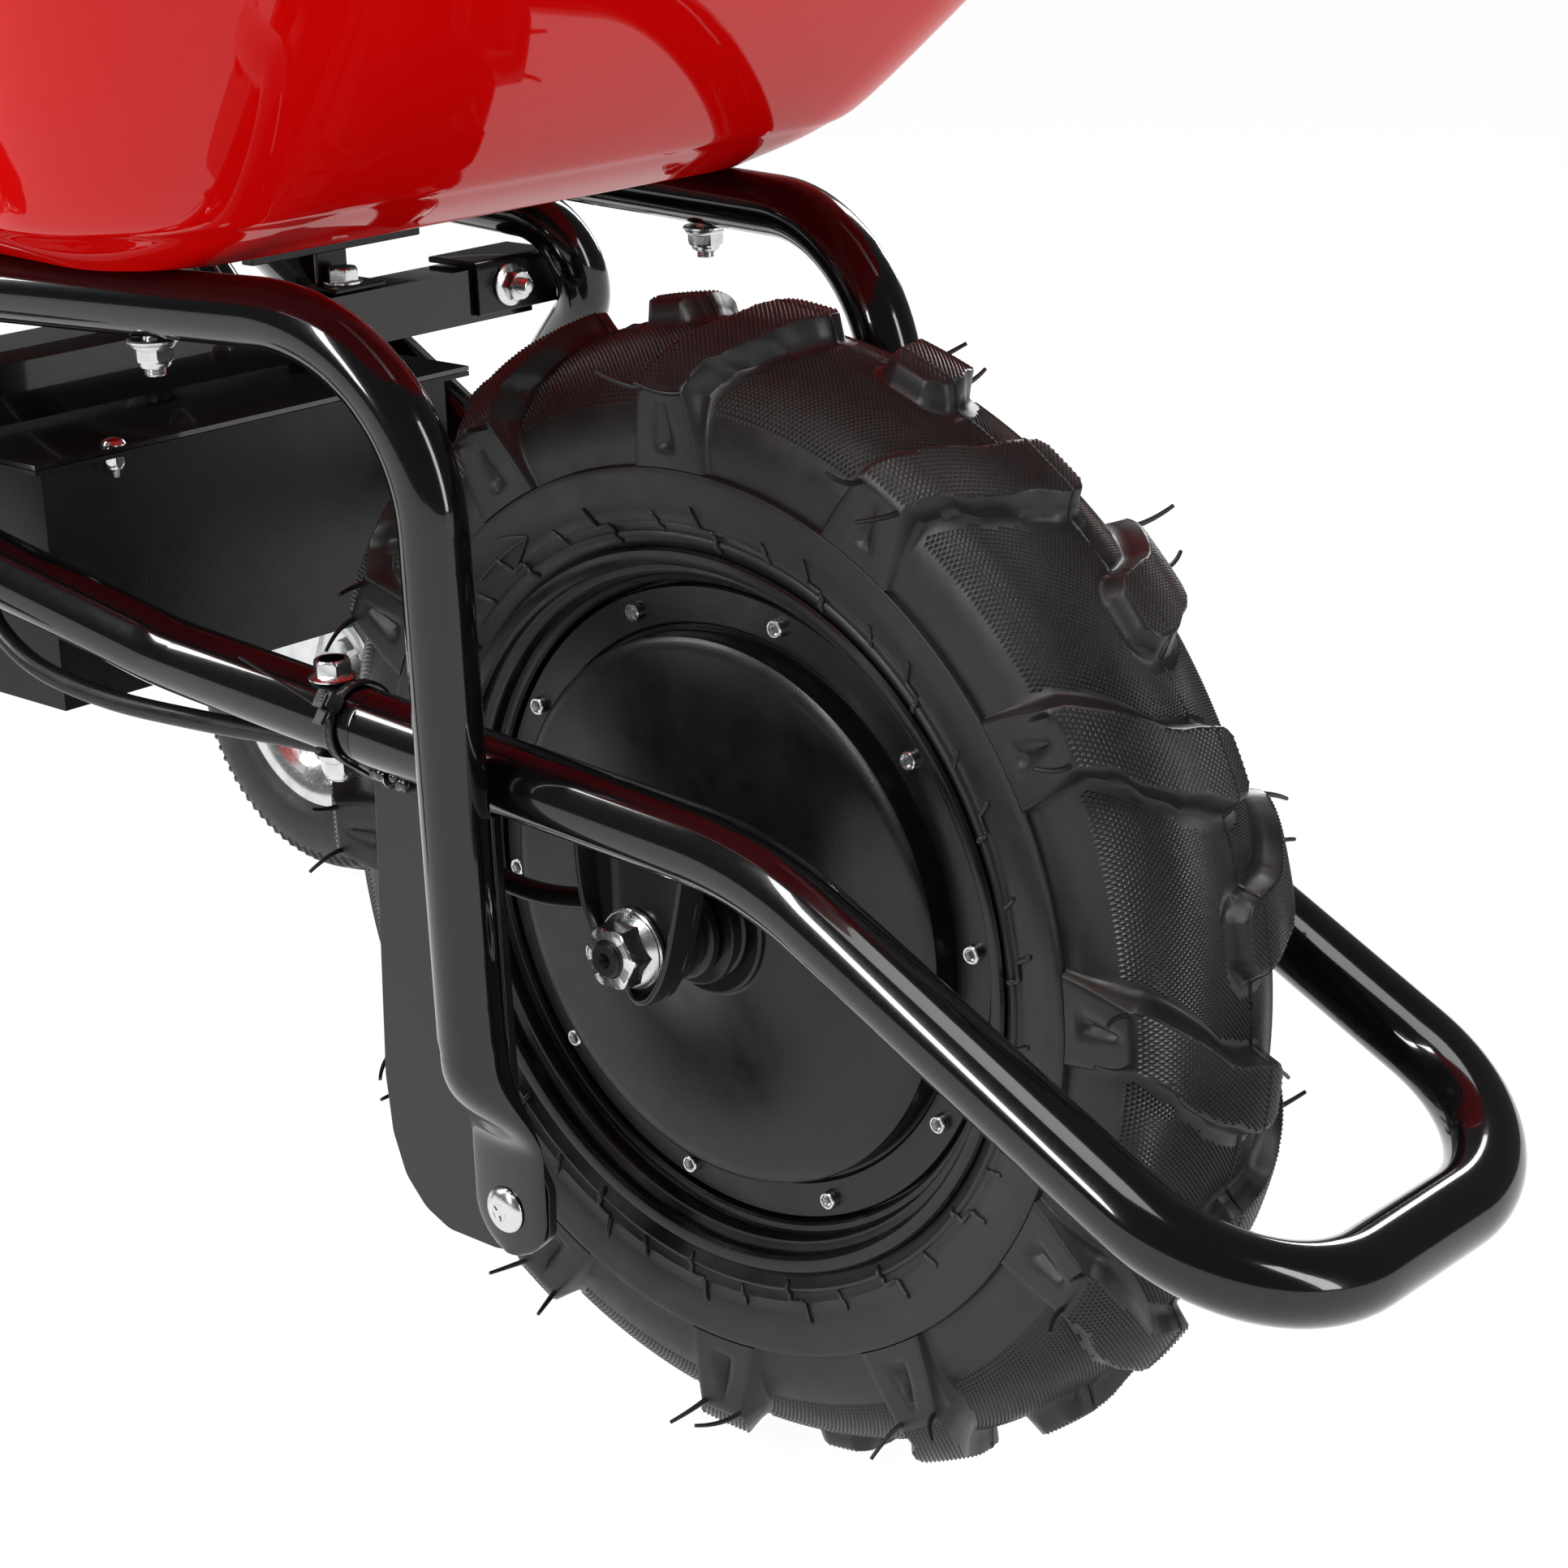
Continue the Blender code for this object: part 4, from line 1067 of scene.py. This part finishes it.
# Each pyramid: its tip, then its four corners
HALF_X = KNURL_STEP * 0.98
HALF_PHI = PITCH / KNURL_PER_PITCH * 0.49
corner_sets = []
for dx, dphi, lift in ((0, 0, KNURL_HEIGHT), (1, 0, -0.12), (0, 1, -0.12), (-1, 0, -0.12), (0, -1, -0.12)):
    corner_sets.append(tread_points(knurl_x + dx * HALF_X, knurl_phi + dphi * HALF_PHI, knurl_high, lift))
for pitch in range(LUGS):
    turn = math.radians(LUG_PHASE + PITCH * pitch)
    cos, sin = math.cos(turn), math.sin(turn)
    spun = []
    for points in corner_sets:
        y, z = points[:, 1], points[:, 2] - AXLE_Z
        spun.append(np.stack([points[:, 0], y * cos + z * sin, AXLE_Z - y * sin + z * cos], -1))
    block = np.stack(spun, 1).reshape(-1, 3)
    base = np.arange(len(knurl_x))[:, None] * 5
    tri = np.concatenate([base + [0, 1, 2], base + [0, 2, 3], base + [0, 3, 4], base + [0, 4, 1]], 0)
    knurl.add(block.tolist(), tri.tolist())
knurl.make("tread_knurl", "knurl_rubber", "drive_wheel", slot="drive_rubber", sharp=10, weld=False)

# Flash along the mould's centre line, torn where the halves parted
strip = []
faces = []
FLASH_STEPS = 1440
for k in range(FLASH_STEPS):
    phi = 360 * k / FLASH_STEPS
    local = (phi - LUG_PHASE + 13) % PITCH - 13
    near, far = all_lines(0.0)
    high = 0.0
    for foot, top, top_end, foot_end in (near, far):
        for at in (local, local + PITCH, local - PITCH):
            if foot < at < foot_end:
                rise = smooth((at - foot) / (top - foot))
                fall = smooth((foot_end - at) / (foot_end - top_end))
                high = max(high, min(rise, fall))
    tear = 0.75 + 0.9 * noise.noise(Vector((phi * 0.9, 0.3, 0.8)))
    wander = 0.35 * noise.noise(Vector((0.7, phi * 0.4, 2.1)))
    r = lerp(219, 228, high)
    tall = max(0.15, tear) if high < 0.5 else 0.5
    for height, shift in ((-0.4, -0.45), (tall, 0), (-0.4, 0.45)):
        strip.append(wheel_point(r + height, wander + shift, phi))
    a = 3 * k
    b = 3 * ((k + 1) % FLASH_STEPS)
    faces += [(a, a + 1, b + 1, b), (a + 1, a + 2, b + 2, b + 1), (a + 2, a, b, b + 2)]
Shape().add(strip, faces).make("mould_flash", "drive_rubber", "drive_wheel", sharp=60, weld=False)

# Moulding whiskers at the lugs' shoulder corners
whiskers = Shape()
rng = np.random.default_rng(11)
for side in (RIGHT, LEFT):
    for k in range(LUGS):
        for edge in (-2.2, 3.1):
            phi = LUG_PHASE + PITCH * k + edge + (0 if side == RIGHT else PITCH / 2)
            root = wheel_point(201.0, side * 44.2, phi)
            out = Vector((side, 0, 0))
            radial = (wheel_point(202, 0, phi) - wheel_point(201, 0, phi)).normalized()
            forward = radial.cross(out)
            length = rng.uniform(14, 20)
            lean = radial * rng.uniform(-0.15, 0.55) + forward * rng.uniform(-0.5, 0.5)
            curl = radial * rng.uniform(-0.7, 0.7) + forward * rng.uniform(-0.8, 0.8)
            path = []
            sizes = []
            for step in range(13):
                t = step / 12
                path.append(root + out * length * t + lean * length * t * 0.7 + curl * length * t * t * 0.6)
                sizes.append(lerp(1.15, 0.75, t))
            whiskers.swept(path, sizes, 10, normal=radial)
whiskers.make("tyre_whiskers", "drive_rubber", "drive_wheel", sharp=60, weld=False)

# Raised ridges on the sidewalls
ridges = Shape()


def ridge(side, phi, low_r, high_r, slant=0.0, width=1.3, height=0.9):
    """A short raised bar on the sidewall, from one radius to another."""
    path = []
    for step in range(9):
        r = lerp(low_r, high_r, step / 8)
        path.append(wheel_point(r, side * (read_at(sidewall, r) + height * 0.2), phi + slant * step / 8))
    tip = (height * 0.4, width * 0.5)
    sizes = [tip] + [(height, width)] * 7 + [tip]
    ridges.swept(path, sizes, 10, normal=(side, 0, 0))


def arc_ridge(side, phi, sweep, r, width=0.9, height=0.9):
    """A short raised bar that follows the tyre round at one radius."""
    x = side * (read_at(sidewall, r) + height * 0.2)
    path = [wheel_point(r, x, phi + sweep * step / 6) for step in range(7)]
    tip = (height * 0.5, width)
    sizes = [tip] + [(height, width)] * 5 + [tip]
    ridges.swept(path, sizes, 10, normal=(side, 0, 0))


# Stepped vents: a tick from the bead, a step sideways, and a tick outward
for side in (RIGHT, LEFT):
    for k in range(18):
        phi = 20 * k + 4 + (0 if side == RIGHT else 10)
        ridge(side, phi, 143.5, 151, 0.8, 1.1, 1.2)
        arc_ridge(side, phi + 0.8, 2.6, 151)
        ridge(side, phi + 3.4, 151, 159, 1.2, 1.1, 1.2)
        ridge(side, phi + 10.5, 148, 155.5, 1.6, 1.0, 0.9)
    # A plain arrow that shows which way the tyre turns
    for reach in (6.3, -6.3):
        ridge(side, 121, 158, 158 + reach, 5.5, 1.0, 0.8)
    for step in range(12):
        ridge(side, 122 + step, 157.4, 158.6, 0.0, 1.6, 0.8)
ridges.make("sidewall_ridges", "drive_rubber", "drive_wheel", sharp=50, weld=False)

# ---- tray

TRAY_WALL = 1.6
# The tray's levels: front y, rear y, half width in front, half width behind, corner radius, z
TRAY_LEVELS = [
    (140, 585, 165, 118, 36, 473.6), (126, 598, 178, 134, 50, 477.5), (100, 612, 202, 160, 66, 490),
    (74, 627, 218, 190, 74, 510), (-30, 675, 268, 292, 108, 612), (-150, 728, 334, 340, 150, 732),
]
CORNER_STEPS = 18
SIDE_STEPS = 10


def tray_outline(front, rear, half_front, half_rear, corner, z):
    """A rounded four-sided outline at one height."""
    ends = [(-half_front, front), (half_front, front), (half_rear, rear), (-half_rear, rear)]
    arcs = []
    for k, (x, y) in enumerate(ends):
        here = Vector((x, y))
        back = (Vector(ends[k - 1]) - here).normalized()
        ahead = (Vector(ends[(k + 1) % 4]) - here).normalized()
        bend = math.pi - back.angle(ahead)
        reach = corner * math.tan(bend / 2)
        centre = here + (back + ahead).normalized() * corner / math.cos(bend / 2)
        start = here + back * reach
        arm = (start - centre).normalized()
        turns = [bend * step / CORNER_STEPS for step in range(CORNER_STEPS + 1)]
        arcs.append([centre + corner * (math.cos(turn) * arm - math.sin(turn) * back) for turn in turns])
    full = []
    for arc, after in zip(arcs, arcs[1:] + arcs[:1]):
        full += arc + [arc[-1].lerp(after[0], s / SIDE_STEPS) for s in range(1, SIDE_STEPS)]
    return [(p.x, p.y, z) for p in full]


def level_curve(steps):
    """The tray's levels with smooth ones between them."""
    rows = [np.array(level, float) for level in TRAY_LEVELS]
    before = rows[0] - (rows[1] - rows[0]) * 2
    before[5] = rows[0][5]
    rows = [before] + rows + [2 * rows[-1] - rows[-2]]
    result = []
    for a, b, c, d in zip(rows, rows[1:], rows[2:], rows[3:]):
        result += [spline(a, b, c, d, k / steps) for k in range(steps)]
    return result + [rows[-2]]


def grown(level, out, z):
    """The outline of a tray level, grown outward, at a height."""
    front, rear, half_front, half_rear, corner = (float(v) for v in level[:5])
    corner = max(corner + out, 5)
    return tray_outline(front - out, rear + out, half_front + out, half_rear + out, corner, z)


outer_rows = []
inner_rows = []
for level in level_curve(7):
    z = max(float(level[5]), TRAY_LEVELS[0][5])
    outer_rows.append(grown(level, 0, z))
    inner_rows.append(grown(level, -TRAY_WALL * 1.25, z + (TRAY_WALL if z < 500 else 0.4)))
ROLL_R, ROLL_OUT, ROLL_Z = 6.4, 5.2, 737.4
roll_rows = []
for k in range(15):
    angle = math.radians(-150 + 300 * k / 14)
    out = ROLL_OUT + ROLL_R * math.cos(angle)
    roll_rows.append(grown(TRAY_LEVELS[-1], out, ROLL_Z + ROLL_R * math.sin(angle)))
Shape().loft(outer_rows + roll_rows + list(reversed(inner_rows))).make(
    "tray_pan", "tray_enamel", replaces=["tray"], sharp=50
)

# A short bar standing on the front cross member under the tray, bolted through its foot
cross_low, cross_high = (to_mm(p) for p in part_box("crossmember_front"))
for word, side in SIDES.items():
    base_z = cross_high.z + 0.4
    x = side * 113
    y = (cross_low.y + cross_high.y) / 2
    shape = Shape()
    shape.box((x - 15, y - 11, base_z), (x + 15, y + 11, base_z + 2.6))
    shape.box((x - 9, y + 8, base_z), (x + 9, y + 10.6, base_z + 20))
    shape.box((x - 50, y + 3, base_z + 17), (x + 50, y + 11, base_z + 36))
    shape.make("tray_rest_" + word, "plate_enamel", slot="frame_enamel", bevel=0.8)
    shape = Shape()
    spot = (x - side * 2, y - 1, base_z + 2.6)
    shape.turned([(0, 0), (8.6, 0), (9.0, 0.4), (9.0, 1.4), (0, 1.6)], spot, UP, 48)
    nut(shape, spot, UP, 6.4, 1.4, 6.2)
    shape.make("tray_rest_bolt_" + word, "zinc")

# ---- cable and tie

cable_points = [
    (-59, 14, 240), (-62, 31, 236), (-70, 56, 235.5), (-77, 78, 243), (-83.4, 95, 262),
    (-87.6, 107, 276.4), (-87.9, 119, 276.9), (-88.8, 132, 280.2), (-97, 158, 284), (-109, 200, 286),
    (-119, 245, 289), (-126, 280, 297), (-124.5, 308, 308), (-118, 326, 318.5), (-114.5, 328, 320),
    (-109.5, 328, 320),
]
Shape().swept(curve_through(cable_points, 8), 4.2, 24, normal=(0, 0, 1)).make(
    "motor_lead", "cable_rubber", replaces=["motor_cable"]
)

tie_centre = on_side(RIGHT, frame_line(113))
CABLE_AT_TIE = Vector((14.7, -23.4))
ROUND_TUBE, ROUND_CABLE = 15.2, 5.2  # the tie's inner radius round the frame tube and round the cable
TIE_STEPS = 56
tie_rings = []
for k in range(TIE_STEPS):
    angle = 2 * math.pi * k / TIE_STEPS
    way = Vector((math.cos(angle), math.sin(angle)))
    share = smooth((way.dot(CABLE_AT_TIE.normalized()) - 0.3) / 0.3)
    spot = (way * ROUND_TUBE).lerp(CABLE_AT_TIE + way * ROUND_CABLE, share)
    tooth = 0.45 if k % 2 else 0.0
    section = [(-2.3, 0.0), (-2.3, 1.1), (-1.5, 1.4), (-1.2, 1.0 + tooth)]
    section += [(-y, grow) for y, grow in reversed(section)]
    ring = []
    for y, grow in section:
        place = spot + way * grow
        ring.append(tie_centre + Vector((place.x, y, place.y)))
    tie_rings.append(ring)
shape = Shape().loft(tie_rings + tie_rings[:1], closed=False)
# The tie's head, with its slot, the strap's ratchet and the loose end that runs on from it
head = Matrix.Translation(tie_centre + Vector((-14.4, 0, 12.2))) @ Matrix.Rotation(math.radians(38), 4, "Y")
shape.box((-3.6, -3.9, -2.9), (3.6, 3.9, 2.9), head)
shape.box((-4.4, -2.6, -4.2), (-3.2, 2.6, 1.4), head)
shape.box((-1.0, -2.4, -9.5), (0.4, 2.4, -2), head)
for k in range(4):
    shape.box((-3.6, -1.6, -1.9 + 1.3 * k), (-4.9, 1.6, -1.3 + 1.3 * k), head)
tail_start = tie_centre + Vector((-17.2, 0, 9.6))
tail = [tail_start, tail_start + Vector((-7.6, 12, 9.4)), tail_start + Vector((-15.6, 27, 19.4))]
shape.swept(curve_through(tail, 8), 0.6, 10, normal=(1, 0, 0))
shape.make("wrap_tie", "tie_nylon", replaces=["cable_tie"], bevel=0.3)

# ---- casters

RIBS = 88  # round each shoulder of a caster's tyre
for word, side in SIDES.items():
    body = "caster_wheel_" + word
    hub = to_mm(middle("caster_rim_" + word))
    rim = Shape()
    half = [(6.4, 37.6), (14.2, 37.6), (15, 36.8), (15.2, 17), (17, 14), (30, 10.4), (40, 11), (46, 13.6)]
    half += [(51, 20), (53.6, 23.4), (58, 25.2), (63.6, 26.6), (66, 26.2), (66, 24.6), (60, 23.0), (55, 16)]
    rim.turned(mirrored(half), hub, (1, 0, 0), 96, loop=True)
    for way in (-1, 1):
        for k in range(4):
            angle = math.radians(90 * k + 30)
            spot = hub + Vector((way * 10.6, 33 * math.cos(angle), 33 * math.sin(angle)))
            rim.turned([(0, 0), (5.2, 0), (5.0, 3.6), (0, 4.4)], spot, (way, 0, 0), 24, hexes=(1, 2))
    rim.make("caster_hub_" + word, "zinc", body, replaces=["caster_rim_" + word], sharp=30)
    tyre_shape = Shape()
    outer = [(56, 16), (60, 23.2), (66.6, 25.4), (68, 27), (70.4, 29.2), (76, 31.2), (84, 32.0), (90, 31.4)]
    outer += [(96, 29), (101, 25.6), (104.4, 21.6), (105.2, 17.2), (103.4, 16.2), (103.4, 14.2), (108, 13.0)]
    outer += [(109.4, 9.4), (109.6, 6.2), (106.2, 5.2), (106.2, 3.8), (110.4, 2.8), (110.8, 0.1)]
    ring = [(r, -x) for r, x in outer] + [(r, x) for r, x in reversed(outer)]
    ring += [(66, 18), (88, 23), (100, 8), (100, -8), (88, -23), (66, -18)]
    tyre_shape.turned(ring, hub, (1, 0, 0), 120, loop=True)
    for way in (-1, 1):
        for k in range(RIBS):
            angle = 2 * math.pi * k / RIBS
            out = Vector((0, math.cos(angle), math.sin(angle)))
            a = hub + out * 102.6 + Vector((way * 21.2, 0, 0))
            b = hub + out * 95.6 + Vector((way * 29.0, 0, 0))
            mid = a.lerp(b, 0.5) + out * 0.7 + Vector((way * 0.7, 0, 0))
            tyre_shape.swept([a, mid, b], [1.8, 2.0, 1.0], 8, normal=out.cross(Vector((1, 0, 0))))
    tyre_shape.make("caster_tread_" + word, "caster_rubber", body, replaces=["caster_tyre_" + word], sharp=34)
    pin = Shape().rod(6.0, -44, 46, hub, (1, 0, 0), 32)
    nut(pin, hub, (-1, 0, 0), 8.9, 46.4, 6.6)
    nut(pin, hub, (1, 0, 0), 7.8, 46.4, 7.0)
    pin.make("caster_pin_" + word, "zinc", "caster_" + word, replaces=["caster_axle_" + word])

# ---- grips

GRIP_LENGTH = 128
for word, side in SIDES.items():
    start = HANDLE_LENGTH - GRIP_LENGTH
    end = HANDLE_LENGTH
    grip = Shape()
    profile = [(15.1, start), (20.2, start), (21.4, start + 1), (21.4, start + 3.4), (19.6, start + 5)]
    along = start + 9
    while along < end - 14:
        profile += [(17.0, along), (18.6, along + 1.2), (18.6, along + 3.4), (17.0, along + 4.6)]
        along += 6.2
    profile += [(18.4, end - 8), (19.2, end - 2), (18.6, end + 2.6), (16, end + 4.6), (6, end + 5)]
    profile += [(0, end + 5), (0, end + 0.8), (15.1, end + 0.8)]
    grip.turned(profile, on_side(side, HANDLE_KNEE), on_side(side, HANDLE_AXIS), 64, loop=True)
    grip.make("hand_grip_" + word, "grip_rubber", replaces=["grip_" + word], sharp=36)

CASTER_PARTS = ["plate_right", "plate_left", "fork_right", "fork_left"]
# CAD pieces that stay have their edges softened, by a width in millimetres. Their materials are set above.
SOFT_EDGES = {
    0.4: ["key_switch"],
    0.7: ["box_strap_front", "box_strap_rear"],
    0.8: ["battery_box_lid", "brake_perch"],
    1.0: ["throttle_lever", "brake_lever"],
    1.2: ["crossmember_front", "rocker_switch"] + ["caster_" + part for part in CASTER_PARTS],
    1.4: ["battery_box"],
    1.5: ["motor_controller"],
    1.6: ["crossmember_rear"],
    3.0: ["battery_right", "battery_left", "control_pod"],
}
for width, names in SOFT_EDGES.items():
    for name in names:
        add_bevel(NODES[name], width)

# ---- studio


def light(name, place, aim, size, power):
    """A soft rectangular light, placed and aimed in millimetres."""
    data = bpy.data.lights.new(name, "AREA")
    data.shape = "RECTANGLE"
    data.size, data.size_y = size
    data.energy = power
    made = bpy.data.objects.new(name, data)
    bpy.context.scene.collection.objects.link(made)
    made.location = mm(place)
    made.rotation_euler = (mm(aim) - mm(place)).to_track_quat("-Z", "Y").to_euler()


light("key_panel", (-2600, 300, 2000), (0, 200, 350), (0.3, 2.6), 60)
light("streak_panel", (-1700, 1900, 2000), (-100, 50, 290), (0.35, 1.9), 46)
light("top_panel", (-300, -100, 3000), (0, 200, 300), (1.2, 2.6), 44)
light("front_panel", (500, -2900, 1300), (0, 100, 300), (0.5, 2.2), 34)
light("rim_panel", (2400, 900, 1600), (0, 200, 300), (0.4, 2.4), 36)

floor_mesh = bpy.data.meshes.new("floor")
FLOOR_HALF = 6.0  # metres
floor_corners = [(x * FLOOR_HALF, y * FLOOR_HALF, 0) for x, y in ((-1, -1), (1, -1), (1, 1), (-1, 1))]
floor_mesh.from_pydata(floor_corners, [], [(0, 1, 2, 3)])
floor = bpy.data.objects.new("floor", floor_mesh)
bpy.context.scene.collection.objects.link(floor)
floor_graph = Graph("floor_white")
floor_graph.set(Base_Color=(0.12, 0.12, 0.12), Roughness=0.9, Specular_IOR_Level=0.0)
floor_graph.set(Emission_Color=(1, 1, 1), Emission_Strength=0.96)
floor_mesh.materials.append(floor_graph.material)

world = bpy.data.worlds.new("studio")
bpy.context.scene.world = world
world.use_nodes = True
# The camera sees a white backdrop, and the parts are lit by a faint grey one
world_nodes = world.node_tree.nodes
world_links = world.node_tree.links
grey = world_nodes["Background"]
white = world_nodes.new("ShaderNodeBackground")
for backdrop, colour, strength in ((grey, (0.10, 0.10, 0.103, 1), 1.0), (white, (1, 1, 1, 1), 1.05)):
    backdrop.inputs["Color"].default_value = colour
    backdrop.inputs["Strength"].default_value = strength
rays = world_nodes.new("ShaderNodeLightPath")
choose = world_nodes.new("ShaderNodeMixShader")
for socket, source in zip(choose.inputs, (rays.outputs["Is Camera Ray"], grey.outputs[0], white.outputs[0])):
    world_links.new(source, socket)
world_links.new(choose.outputs[0], world_nodes["World Output"].inputs["Surface"])
bpy.context.scene.view_settings.view_transform = "Standard"

# The camera stands low in front, on the user's right, and looks back past the drive wheel
YAW, PITCH_DOWN, ROLL = math.radians(42.525), math.radians(18.965), -0.0325
flat = math.cos(PITCH_DOWN)
view = Vector((math.cos(YAW) * flat, math.sin(YAW) * flat, -math.sin(PITCH_DOWN)))
level = Vector((math.sin(YAW), -math.cos(YAW), 0))
upright = level.cross(view)
across_view = math.cos(ROLL) * level + math.sin(ROLL) * upright
up_view = math.cos(ROLL) * upright - math.sin(ROLL) * level
camera_data = bpy.data.cameras.new("camera")
camera = bpy.data.objects.new("camera", camera_data)
bpy.context.scene.collection.objects.link(camera)
placed = Matrix((across_view, up_view, -view)).transposed().to_4x4()
placed.translation = mm((-873.2, -812.5, 672.9))
camera.matrix_world = placed
camera_data.sensor_width = 36
camera_data.lens = 76.606
camera_data.shift_x = -0.00576
camera_data.shift_y = 0.01205
camera_data.clip_start = 0.01
bpy.context.scene.camera = camera
